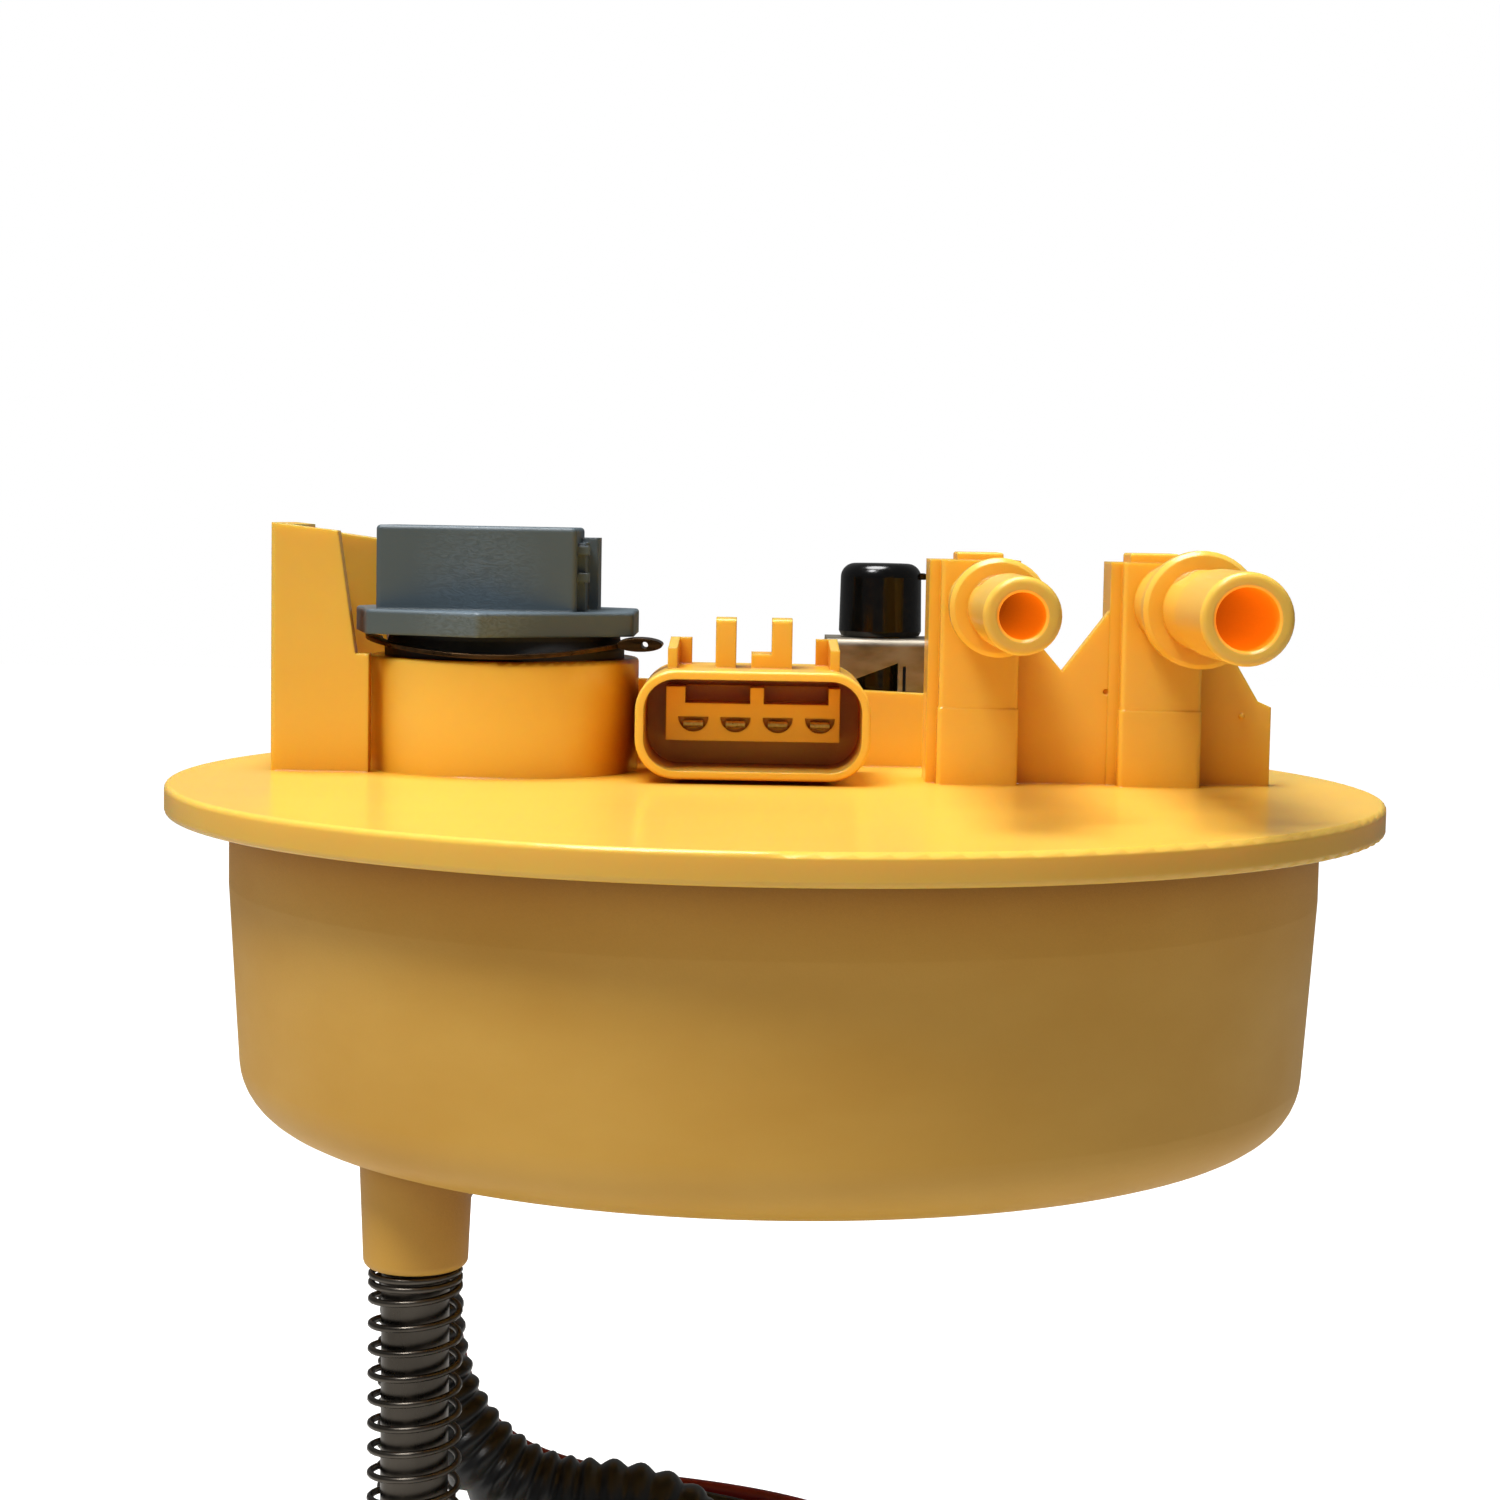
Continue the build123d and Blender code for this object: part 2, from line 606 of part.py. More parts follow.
# Filter: pleated paper ring between two end caps
def filter_media():
    z0 = drum_low + drum_floor + filter_caps_t
    z1 = -weld_ring_h - filter_caps_t - 0.4
    points = []
    for i in range(pleats):
        a0 = radians(360.0 * i / pleats)
        a1 = radians(360.0 * (i + 0.5) / pleats)
        points.append(((filter_r - 1) * cos(a0), (filter_r - 1) * sin(a0), z0))
        points.append(((filter_r - 5) * cos(a1), (filter_r - 5) * sin(a1), z0))
    paper = extrude(make_face(Polyline(*points, close=True)), amount=z1 - z0, dir=(0, 0, 1))
    return Pos(filter_x, filter_y, 0) * (paper - rod(0, 0, z0 - 1, z1 + 1, filter_core_r + 0.8))


def filter_end_caps():
    z0 = drum_low + drum_floor
    z1 = -weld_ring_h - 0.4
    low = rod(filter_x, filter_y, z0, z0 + filter_caps_t, filter_r)
    low -= rod(filter_x, filter_y, z0 - 1, z0 + 3, pocket_r + 1.8)
    high = rod(filter_x, filter_y, z1 - filter_caps_t, z1, filter_r)
    return group([low, high])


# Pressure regulator in the pocket under the filter
reg_low = drum_low - 2.2
reg_high = drum_low + 13.0


def regulator_body():
    waist = pocket_r - 0.3
    steps = [(0, 0), (5.0, 0), (5.0, 1.4), (waist, 2.6), (waist, 7.5), (waist - 1.0, 7.5), (waist - 1.0, 9.0),
             (7.5, 10.0), (7.5, reg_high - reg_low), (0, reg_high - reg_low)]
    outline = [(r, reg_low + z) for r, z in steps]
    body = turned(outline, filter_x, filter_y)
    return body - rod(filter_x, filter_y, reg_low - 1, reg_low + 3, 2.2)


def regulator_o_rings():
    big = pipe(filter_x, filter_y, reg_low + 7.5, reg_low + 8.8, pocket_r, pocket_r - 1.3)
    small = pipe(filter_x, filter_y, reg_high - 3.5, reg_high - 2.0, 8.7, 7.5)
    return group([big, small])


def regulator_clip():
    ring = rod(filter_x, filter_y, drum_low - 0.8, drum_low, pocket_r + 3.0)
    ring -= rod(filter_x, filter_y, drum_low - 2, drum_low + 1, pocket_r - 2.0)
    ring -= block(filter_x - 3, filter_x + 3, filter_y - 20, filter_y, drum_low - 2, drum_low + 1)
    neck = rod(filter_x, filter_y, reg_low - 1, drum_low + 1, pocket_r + 0.1)
    return (ring - neck) + (ring & neck)


# Vent valve: a housing under the drum with a float that shuts the port when fuel rises or the tank rolls
valve_top = drum_low - 1.5
valve_low = valve_top - valve_drop


def vent_housing():
    body = rod(valve_x, valve_y, valve_low, valve_top, valve_r)
    body -= rod(valve_x, valve_y, valve_low - 1, valve_top - 2.0, valve_r - 1.4)
    body -= rod(valve_x, valve_y, valve_top - 3, valve_top + 1, 1.8)
    for a in (45, 135, 225, 315):
        cut = Pos(valve_x, valve_y, valve_low + 6) * Rot(0, 0, a) * Pos(valve_r, 0, 0) * Box(6, 3, 6)
        body -= cut
    return body


def vent_base():
    base = rod(valve_x, valve_y, valve_low - 1.5, valve_low, valve_r)
    base += rod(valve_x, valve_y, valve_low - 0.5, valve_low + 1.5, 1.2)
    for a in range(4):
        base -= Pos(valve_x, valve_y, valve_low - 1) * Rot(0, 0, 90 * a) * Pos(5.5, 0, 0) * Cylinder(1.3, 6)
    return base


vent_lift = 2.0
float_low = valve_low + gap
float_high = valve_top - 2.0 - vent_lift - gap


def vent_float():
    body = turned([(0, float_low), (valve_r - 2.0, float_low), (valve_r - 2.0, float_high), (2.0, float_high),
                   (0.6, float_high + 1.4), (0, float_high + 1.4)], valve_x, valve_y)
    return body - rod(valve_x, valve_y, float_low - 1, float_low + 3.0, 2.4)


# Springs round the rods, from the sockets down to the ears
def coil(x, y, z0, z1, r, wire, turns):
    height = z1 - z0 - 2 * wire
    path = Helix(height / turns, height, r - wire)
    start = path @ 0
    section = Plane(origin=start, z_dir=path % 0) * Circle(wire)
    return Pos(x, y, z0 + wire) * sweep(section, path=path, is_frenet=True)


# Rod with a groove for its ring near the lower end
def guide_rod(x, y):
    body = rod(x, y, rod_end, socket_end + socket_bore, rod_r)
    body = chamfer(body.edges().sort_by(Axis.Z)[0], 0.6)
    groove = rod(x, y, ear_low - gap - clip_t, ear_low - gap, rod_r + 1)
    groove -= rod(x, y, ear_low - gap - clip_t, ear_low - gap, rod_r - 0.7)
    return body - groove


def rod_rings():
    rings = []
    for x, y in rod_xy:
        ring = rod(x, y, ear_low - gap - clip_t, ear_low - gap, clip_r)
        ring -= rod(x, y, ear_low - gap - clip_t - 1, ear_low, rod_r - 0.7)
        ring -= block(x - 1.8, x + 1.8, y, y + 8, ear_low - gap - clip_t - 1, ear_low)
        rings.append(ring)
    return group(rings)


# Reservoir bucket, with outside flutes that the rods run down
def bucket_form(inset):
    """Outside form of the bucket, drawn in by inset, with the flutes and the flat side cut away."""
    floor_z = bucket_floor + inset
    r_foot = bucket_foot_r - inset
    r_top = bucket_r - inset
    form = turned([(0, floor_z), (r_foot, floor_z), (r_top, bucket_top), (0, bucket_top)])
    for x, y in rod_xy:
        form -= rod(x, y, floor_z - 1, bucket_top + 1, flute_r + inset)
        # the flute opens outwards
        out = 1 + flute_open / hypot(x, y)
        form -= rod(x * out, y * out, floor_z - 1, bucket_top + 1, flute_r + inset)
    return form - block(side_flat_x - inset, rim_r, -rim_r, rim_r, floor_z - 1, bucket_top + 1)


# Upright ribs outside the bucket
def bucket_ribs():
    low, high = bucket_floor + 1.0, bucket_top - latch_drop - 4.0
    rise = (high - bucket_floor) / (bucket_top - bucket_floor)
    high_r = bucket_foot_r + bucket_taper * rise
    profile = [(bucket_foot_r - 1.0, low), (bucket_foot_r + rib_h * 0.5, low), (high_r + rib_h, high - 1.5),
               (high_r, high), (high_r - 1.0, high)]
    return [Rot(0, 0, a) * plate_xz(profile, -rib_w / 2, rib_w / 2) for a in rib_angles]


# Latches: wedges on the bucket that catch the windows of tabs on the cover
def latch_wedges():
    low = bucket_top - latch_drop + 1.8
    wedge = block(bucket_r - 1.0, bucket_r + 1.0, -2.2, 2.2, low, low + 2.4)
    wedge = chamfer(wedge.edges().filter_by(Axis.Y).group_by(Axis.X)[-1].sort_by(Axis.Z)[-1], 0.8)
    return [Rot(0, 0, a) * wedge for a in latch_angles]


def latch_tabs():
    low = bucket_top - latch_drop
    tab = block(bucket_r - 1.5, bucket_r + latch_t, -4.5, 4.5, low, bucket_top + cover_t)
    tab = fillet(tab.edges().filter_by(Axis.X).group_by(Axis.Z)[0], 1.0)
    tab -= block(bucket_r - 2.0, bucket_r + latch_t + 1, -2.6, 2.6, low + 1.4, low + 4.6)
    tabs = [Rot(0, 0, a) * tab for a in latch_angles]
    inside = rod(0, 0, low - 1, bucket_top, bucket_r + slip)
    return [tab - inside for tab in tabs]


inlet_x, inlet_y = pump_x - 34.0, pump_y + 4.0


def make_bucket():
    body = bucket_form(0) - bucket_form(bucket_wall)
    for x, y in rod_xy:
        ear = rod(x, y, ear_low, ear_top, ear_r)
        inward = 1 - ear_reach / hypot(x, y)
        arm = rod(x * inward, y * inward, ear_low, bucket_top, 6.0)
        body += ear + (arm - bucket_form(bucket_wall + 2.0))
    for x, y in rod_xy:
        body -= rod(x, y, ear_low - 1, ear_top + 1, rod_r + slip)
    for a in (20, 110, 200, 290):
        x, y = polar(foot_reach, a)
        body += rod(x, y, bucket_floor - foot_h, bucket_floor, foot_r)
    body += bucket_ribs() + latch_wedges()
    body -= rod(inlet_x, inlet_y, bucket_floor - 1, bucket_floor + 5, 1.6)
    for a in (0, 90, 180, 270):
        dx, dy = polar(4.6, a)
        body -= rod(inlet_x + dx, inlet_y + dy, bucket_floor - 1, bucket_floor + 5, 1.1)
    return body


# One-way flap over the bucket's inlet holes
def inlet_valve():
    z = bucket_floor + bucket_wall
    low = bucket_floor - 1.2
    outline = [(0, low), (2.4, low), (1.6, bucket_floor), (1.6, z), (7.0, z), (6.6, z + 0.9), (0, z + 2.2)]
    return turned(outline, inlet_x, inlet_y)


# Cover on the bucket: it holds the pump's top and lets return fuel in
cover_t = 2.4


def make_cover():
    z0, z1 = bucket_top, bucket_top + cover_t
    lid = Pos(0, 0, cover_t) * (bucket_form(0) & slab(bucket_top - cover_t, bucket_top))
    skirt = (bucket_form(bucket_wall + slip) - bucket_form(bucket_wall + slip + 1.6)) & slab(z0 - 4.0, z0 + 1)
    for x, y in rod_xy:
        lid -= rod(x, y, z0 - 1, z1 + 1, ear_r + gap)
        skirt -= rod(x, y, z0 - 20, z1 + 1, flute_r + bucket_wall + 3.5)
    lid += skirt
    lid += latch_tabs()
    lid += rod(pump_x, pump_y, z0 - 12.0, z0 + 1, pump_r + sleeve_t + 1.8)
    # raised collar round the pump's opening and stiffening ribs across the lid
    lid += pipe(pump_x, pump_y, z0 + 1, z1 + 2.0, pump_r + 0.6, pump_r - 1.6)
    ribs = [Rot(0, 0, a) * block(0, bucket_r - 4.0, -0.7, 0.7, z0 + 1, z1 + 1.2) for a in cover_rib_angles]
    lid += [rib - rod(pump_x, pump_y, z0, z1 + 3, pump_r) for rib in ribs]
    lid -= rod(pump_x, pump_y, z0 - 13.0, z0 - 3.0, pump_r + sleeve_t)
    lid -= rod(pump_x, pump_y, z0 - 4.0, z0 + 5, pump_r - 1.6)
    for reach, angle, r in cover_holes:
        x, y = polar(bucket_r * reach, angle)
        lid -= rod(x, y, z0 - 1, z0 + 5, r)
    return lid


# Pump: inlet plate, impeller, steel shell, magnets, armature, end cap with outlet
motor_low = pump_low + inlet_h
motor_high = pump_high - end_cap_h


def outer_edge(edge):
    """True for the circles at both ends of the pump's outside."""
    return abs(edge.radius - pump_r) < slip and not pump_low + 0.5 < edge.center().Z < pump_high - 0.5


def pump_shell():
    shell = rod(pump_x, pump_y, pump_low + 1.0, pump_high - 1.0, pump_r)
    shell -= rod(pump_x, pump_y, pump_low, pump_high, pump_r - pump_wall)
    shell += pipe(pump_x, pump_y, pump_low, pump_low + 1.0, pump_r, pump_r - 2.4)
    shell += pipe(pump_x, pump_y, pump_high - 1.0, pump_high, pump_r, pump_r - 2.4)
    return fillet(shell.edges().filter_by(GeomType.CIRCLE).filter_by(outer_edge), 0.7)


impeller_low = pump_low + 4.6
sock_x = pump_x + 9.5


def pump_inlet_plate():
    r = pump_r - pump_wall
    body = rod(pump_x, pump_y, pump_low + 1.0, motor_low, r)
    body += rod(pump_x, pump_y, pump_low, pump_low + 1.0, r - 1.6)
    body += rod(sock_x, pump_y, pump_low - 3.5, pump_low + 1.0, 5.0)
    body -= rod(pump_x, pump_y, impeller_low - 0.15, impeller_low + impeller_t + 0.15, impeller_r + 0.2)
    body -= rod(sock_x, pump_y, pump_low - 4.0, impeller_low, 3.2)
    body -= rod(pump_x - 10.5, pump_y, impeller_low + impeller_t, motor_low + 1, 2.2)
    body -= rod(pump_x, pump_y, impeller_low - 2.0, motor_low + 1, shaft_r + slip)
    return body


def pump_impeller():
    z0, z1 = impeller_low, impeller_low + impeller_t
    wheel = rod(pump_x, pump_y, z0, z1, impeller_r)
    wheel -= rod(pump_x, pump_y, z0 - 1, z1 + 1, shaft_r)
    cutters = []
    for i in range(24):
        place = Pos(pump_x, pump_y, 0) * Rot(0, 0, 15 * i) * Pos(impeller_r - 1.6, 0, (z0 + z1) / 2)
        cutters.append(place * Box(1.8, 1.9, impeller_t + 2))
    return wheel - cutters


def rotor_shaft():
    return rod(pump_x, pump_y, impeller_low - 1.8, motor_high + 5.0, shaft_r)


def armature():
    z0, z1 = motor_low + 8.0, motor_high - 12.0
    core = rod(pump_x, pump_y, z0, z1, armature_r)
    cutters = []
    for i in range(8):
        place = Pos(pump_x, pump_y, (z0 + z1) / 2) * Rot(0, 0, 45 * i)
        cutters.append(place * Pos(armature_r, 0, 0) * Box(3.6, 1.4, z1 - z0 + 2))
        cutters.append(place * Pos(armature_r - 4.0, 0, 0) * Box(5.0, 3.4, z1 - z0 + 2))
    core -= cutters
    return core - rod(pump_x, pump_y, z0 - 1, z1 + 1, shaft_r)


def armature_windings():
    z0, z1 = motor_low + 8.0, motor_high - 12.0
    ends = []
    for low, high in ((z0 - 4.5, z0), (z1, z1 + 4.5)):
        ring = rod(pump_x, pump_y, low, high, armature_r - 1.2)
        ring = fillet(ring.edges().filter_by(GeomType.CIRCLE), 1.6)
        ends.append(ring - rod(pump_x, pump_y, low - 1, high + 1, shaft_r))
    return group(ends)


comm_low = motor_high - 6.0


def commutator():
    ring = rod(pump_x, pump_y, comm_low, motor_high - 1.0, 6.4)
    ring -= rod(pump_x, pump_y, comm_low - 1, motor_high, shaft_r)
    for i in range(8):
        slot = Rot(0, 0, 45 * i + 22.5) * Pos(4.8, 0, 0) * Box(5, 0.5, 2)
        ring -= Pos(pump_x, pump_y, motor_high - 1.5) * slot
    return ring


def magnets():
    z0, z1 = motor_low + 5.0, motor_high - 10.0
    ring = pipe(pump_x, pump_y, z0, z1, magnet_r, magnet_r - magnet_t)
    ring -= block(pump_x - 3.5, pump_x + 3.5, pump_y - 25, pump_y + 25, z0 - 1, z1 + 1)
    return group(ring.solids())


def flux_ring():
    z0, z1 = motor_low + 3.0, motor_high - 7.0
    return pipe(pump_x, pump_y, z0, z1, pump_r - pump_wall, magnet_r)


brush_xs = [pump_x - 4.6, pump_x + 4.6]
pump_pin_xs = [pump_x + 5.5, pump_x + 10.5]
brush_low = motor_high - 1.0
outlet_x = pump_x - 11.5
outlet_top = bucket_top + 13.0
check_seat = pump_high - 2.0


def pump_end_cap():
    r = pump_r - pump_wall
    body = rod(pump_x, pump_y, motor_high, pump_high - 1.0, r)
    body += rod(pump_x, pump_y, pump_high - 1.0, pump_high + 2.0, r - 1.6)
    barb_r = outlet_r + 0.5
    body += turned([(0, pump_high), (5.6, pump_high), (5.6, outlet_top - 14), (outlet_r, outlet_top - 12),
                    (outlet_r, outlet_top - 4), (barb_r, outlet_top - 4), (outlet_r - 0.5, outlet_top),
                    (0, outlet_top)], outlet_x, pump_y)
    body += block(pump_x + 2.5, pump_x + 13.5, pump_y - 4.5, pump_y + 4.5, pump_high, pump_high + 10)
    body -= block(pump_x + 3.5, pump_x + 12.5, pump_y - 3.5, pump_y + 3.5, pump_high + 3, pump_high + 11)
    body -= rod(outlet_x, pump_y, motor_high - 1, check_seat, 2.2)
    body -= rod(outlet_x, pump_y, check_seat - 0.7, outlet_top - 12.0, 3.6)
    body -= rod(outlet_x, pump_y, outlet_top - 13.0, outlet_top + 1, outlet_bore)
    body -= rod(pump_x, pump_y, motor_high - 1, motor_high + 5.2, shaft_r + slip)
    for x in brush_xs:
        body -= brush_bar(x, motor_high - 1, motor_high + 9.5, 0)
    for pin in pump_pin_list():
        body -= pin
    return body


def brush_bar(x, z0, z1, shrink):
    """Square bar round a brush, drawn in by shrink."""
    half_x, half_y = 1.5 - shrink, 2.0 - shrink
    return block(x - half_x, x + half_x, pump_y - half_y, pump_y + half_y, z0, z1)


def brushes():
    return group([brush_bar(x, brush_low + slip, motor_high + 4.5, slip) for x in brush_xs])


def brush_springs():
    return group([coil(x, pump_y, motor_high + 4.5, motor_high + 9.5, 1.3, 0.22, 4) for x in brush_xs])


def pump_pin_list():
    y0, y1 = pump_y - pin_t / 2, pump_y + pin_t / 2
    return [block(x - 1.2, x + 1.2, y0, y1, pump_high, pump_high + 8) for x in pump_pin_xs]


# Check valve in the pump's outlet: a sprung poppet
def check_valve():
    steps = [(0, -1.2), (1.6, -1.2), (3.3, 0.6), (3.3, 2.0), (1.2, 2.4), (1.2, 5.0), (0, 5.0)]
    return turned([(r, check_seat + z) for r, z in steps], outlet_x, pump_y)


def check_spring():
    return coil(outlet_x, pump_y, check_seat + 5.3, outlet_top - 12.0, 2.6, 0.3, 4)


def pump_sleeve():
    z0, z1 = pump_low + 8.0, bucket_top - 3.0
    sleeve = rod(pump_x, pump_y, z0, pump_high + 0.8, pump_r + sleeve_t)
    sleeve -= rod(pump_x, pump_y, z0 - 1, pump_high + 2, pump_r)
    ring = pipe(pump_x, pump_y, pump_high + 0.8, z1, pump_r + sleeve_t, pump_r - 1.5)
    rib_len = 60.0
    for i in range(6):
        x, y = polar(pump_r + sleeve_t, 60 * i + 30)
        rib = rod(pump_x + x, pump_y + y, z0, z0 + rib_len, 1.3)
        sleeve += rib - rod(pump_x, pump_y, z0 - 1, z0 + rib_len + 1, pump_r + gap)
    return sleeve + ring


# Carrier in the bucket: three legs on the floor that hold the sleeve's foot
def pump_cradle():
    z0 = bucket_floor + bucket_wall
    cup_low = pump_low + 3.0
    cup_r = pump_r + sleeve_t + 3.4
    ring = pipe(pump_x, pump_y, cup_low, cup_low + 12.0, cup_r, cup_r - 1.8)
    ring += pipe(pump_x, pump_y, cup_low, cup_low + 2.0, cup_r - 1.4, pump_r + gap)
    leg = block(cup_r - 1.8, cup_r, -4.5, 4.5, z0, cup_low + 1.0)
    return ring + [Pos(pump_x, pump_y, 0) * Rot(0, 0, a) * leg for a in (90, 180, 270)]


# Inlet strainer: a woven bag round a plastic grid, clipped to the pump's inlet
sock_low = bucket_floor + bucket_wall + gap


def strainer_sock():
    plan = block(sock_x - 29, sock_x + 17, pump_y - 15, pump_y + 15, sock_low, sock_low + 5.0)
    bag = fillet(plan.edges().filter_by(Axis.Z), 9)
    bag = fillet(bag.edges().group_by(Axis.Z)[-1], 2.0)
    return bag - rod(sock_x, pump_y, sock_low + 2, sock_low + 6, 5.0)


def strainer_clip():
    z1 = pump_low - 0.3
    return pipe(sock_x, pump_y, sock_low + 5.0, z1, 6.6, 5.0)


# Level sender on the bucket's flat side: housing, resistor card, hub, arm and float
sender_x = side_flat_x + 0.05
sender_y, sender_z = 12.0, -150.0
arm_len = 92.0
arm_r = 1.25
arm_drop = 28.0
hub_r = 5.0
pivot_r = 2.4


def sender_housing():
    x0, x1 = sender_x, sender_x + 5.0
    body = block(x0, x1, sender_y - 24, sender_y + 12, sender_z - 14, sender_z + 22)
    body = fillet(body.edges().filter_by(Axis.X), 3.0)
    body -= block(x0 + 2.0, x1 + 1, sender_y - 22, sender_y + 10, sender_z - 12, sender_z + 20)
    pivot = rod_x(sender_y, sender_z, x0 + 1, x0 + 11.4, pivot_r)
    rail = block(x0, x0 + 2, sender_y - 12, sender_y + 6, sender_z + 20, sender_z + 32)
    return body + pivot + rail


def resistor_card():
    x0 = sender_x + 2.0
    card = block(x0, x0 + 0.7, sender_y - 21, sender_y + 9, sender_z - 8, sender_z + 19)
    return card - rod_x(sender_y, sender_z, x0 - 1, x0 + 3, pivot_r + 0.2)


hub_x0 = sender_x + 5.6
hub_x1 = sender_x + 9.6
arm_x = sender_x + 8.2


def sender_hub():
    body = rod_x(sender_y, sender_z, hub_x0, hub_x1, hub_r)
    body -= rod_x(sender_y, sender_z, hub_x0 - 1, hub_x1 + 1, pivot_r + slip)
    finger = block(hub_x0, hub_x0 + 2.4, -12.0, -4.0, -2.2, 2.2)
    body += Pos(0, sender_y, sender_z) * Rot(arm_drop, 0, 0) * finger
    return body - arm_frame() * arm_wire()


def sender_contact():
    strip = block(sender_x + 3.1, hub_x0, -16.0, -9.0, -0.8, 0.8)
    strip -= block(sender_x + 3.6, hub_x0 - 0.5, -17.0, -11.0, -2, 2)
    return Pos(0, sender_y, sender_z) * Rot(arm_drop, 0, 0) * strip


def arm_frame():
    return Pos(arm_x, sender_y, sender_z) * Rot(arm_drop, 0, 0)


def arm_wire():
    run = extrude(Plane.XZ.offset(hub_r) * Circle(arm_r), amount=arm_len - hub_r)
    turn = rod_x(-arm_len, 0, 0, 22, arm_r)
    knee = Pos(0, -arm_len, 0) * Sphere(arm_r)
    return run + knee + turn


def float_arm():
    return arm_frame() * arm_wire()


def level_float():
    body = Pos(13.0, -arm_len, 0) * Box(14.0, 30.0, 15.0)
    body = fillet(body.edges(), 2.5)
    body -= Pos(0, -arm_len, 0) * Rot(0, 90, 0) * Cylinder(arm_r + slip, 40)
    return arm_frame() * body


# Cords held at both ends: the supply hose and the four wires. Straight runs joined by tangent arcs.
def route_radii(points):
    radii = []
    for a, b, c in zip(points, points[1:], points[2:]):
        u = Vector(*b) - Vector(*a)
        v = Vector(*c) - Vector(*b)
        half = radians(u.get_angle(v)) / 2
        radii.append(0.45 * min(u.length, v.length) / tan(half))
    return radii


def tube(name, points, r, bore=0.0):
    radii = route_radii(points)
    path = FilletPolyline(*points, radius=radii)
    start = Plane(origin=path @ 0, z_dir=path % 0)
    body = sweep(start * Circle(r), path=path)
    if bore:
        body -= sweep(start * Circle(bore), path=path)
    area = pi * (r * r - bore * bore)
    print(name, "radii", [round(v, 1) for v in radii], "length", round(path.length, 1),
          "volume share", round(body.volume / (area * path.length), 3))
    return body


hose_r = 5.0
hose_bore = 3.6
barb_grip = 4.55
hose_top = drum_low - 3.0
hose_end = outlet_top - 11.0
hose_points = [(hose_x, hose_y, hose_top), (hose_x, hose_y, hose_top - 17),
               (hose_x + 2.0, hose_y, hose_top - 33), (hose_x + 13.0, hose_y, hose_top - 44),
               (outlet_x - 8.0, hose_y, hose_top - 44), (outlet_x, hose_y, hose_top - 53),
               (outlet_x, hose_y, hose_end)]


def supply_hose():
    body = tube("supply hose", hose_points, hose_r, hose_bore)
    body -= rod(hose_x, hose_y, barb_end, hose_top + 1, barb_grip)
    return body - rod(outlet_x, pump_y, hose_end - 1, outlet_top, barb_grip)


def clamp(x, y, z):
    band = rod(x, y, z, z + 5.0, hose_r + 0.7) - rod(x, y, z, z + 5.0, hose_r)
    ear = block(x - 1.6, x + 1.6, y + hose_r + 0.2, y + hose_r + 3.2, z, z + 5.0)
    ear -= block(x - 0.8, x + 0.8, y + hose_r + 0.7, y + hose_r + 2.4, z - 1, z + 6.0)
    return band + ear


wire_r = 1.0
plug_low = drum_low - 11.5


def upper_plug():
    body = block(well_x - 12.5, well_x + 12.5, well_y - 5.0, well_y + 5.0, plug_low, drum_low - 1.6)
    for pin in terminals:
        body -= pin
    return body


def wire_route(i):
    side = hose_x + 2.0 - 2.3 * (i // 2)
    y = well_y + 1.6 + 2.6 * (i % 2)
    x0 = well_x - 12.5
    z0 = plug_low + 3.0 + 3.4 * (i // 2)
    return [(x0, y - 3.0, z0), (x0 - 11, y - 3.0, z0), (side + 4.5, y - 1.5, z0 - 1.0), (side, y, z0 - 9),
            (side, y, z0 - 24)]


def power_wire(i):
    x_end = pump_x + 5.5 + 5.0 * i
    head = wire_route(i)
    x1, y1, z1 = head[-1]
    low = pump_high + 14.5
    return head + [(x1 + 3.5, y1 - 0.5, z1 - 11), (x1 + 14, y1 - 2.0, z1 - 17),
                   (x_end - 14, y1 - 5.0, z1 - 19), (x_end - 1.5, y1 - 10.0, z1 - 23),
                   (x_end, pump_y, low + 8), (x_end, pump_y, low)]


def sender_wire(i):
    head = wire_route(i + 2)
    x1, y1, z1 = head[-1]
    low = sender_z + 33.5
    cross = low + 21.5
    drop = z1 - cross
    x_end = sender_x + 1.9
    y_end = sender_y - 5.0 + 5.0 * i
    return head + [(x1 + 0.5, y1 + 0.5, z1 - 0.45 * drop), (x1 + 7, y1 + 4, z1 - 0.87 * drop),
                   (x1 + 24, y1 + 9, cross), (x1 + 46, y1 + 12, cross - 0.5), (x1 + 70, y1 + 8, cross),
                   (x_end - 4, y_end + 2, cross - 2), (x_end, y_end, cross - 11), (x_end, y_end, low)]


def pump_plug():
    return block(pump_x + 3.7, pump_x + 12.3, pump_y - 3.3, pump_y + 3.3, pump_high + 8.2, pump_high + 14.5)


def sender_plug():
    return block(sender_x + 0.1, sender_x + 3.7, sender_y - 9, sender_y + 3, sender_z + 32, sender_z + 33.5)


# Write every node
flange = make_flange()
save("flange", flange)
save("connector_terminals", group(terminals))
save("filter_drum", make_drum())
save("pressure_sensor", make_sensor())
save("sensor_pins", group(sensor_pin_list()))
save("sensor_seal", make_sensor_seal())
save("sensor_spring_clip", make_sensor_clip())
save("port_bracket", make_port_bracket())
save("port_dust_cap", make_dust_cap())
save("filter_media", filter_media())
save("filter_end_caps", filter_end_caps())
save("pressure_regulator", regulator_body())
save("regulator_o_rings", regulator_o_rings())
save("regulator_clip", regulator_clip())
save("vent_valve_housing", vent_housing())
save("vent_valve_base", vent_base())
save("vent_valve_float", vent_float())
for name, (x, y) in rod_places.items():
    save("guide_rod_" + name, guide_rod(x, y))
    save("rod_spring_" + name, coil(x, y, ear_top, socket_end, spring_r, spring_wire, spring_turns))
save("rod_rings", rod_rings())
save("reservoir", make_bucket())
save("reservoir_cover", make_cover())
save("inlet_flap_valve", inlet_valve())
save("pump_shell", pump_shell())
save("pump_inlet_plate", pump_inlet_plate())
save("pump_impeller", pump_impeller())
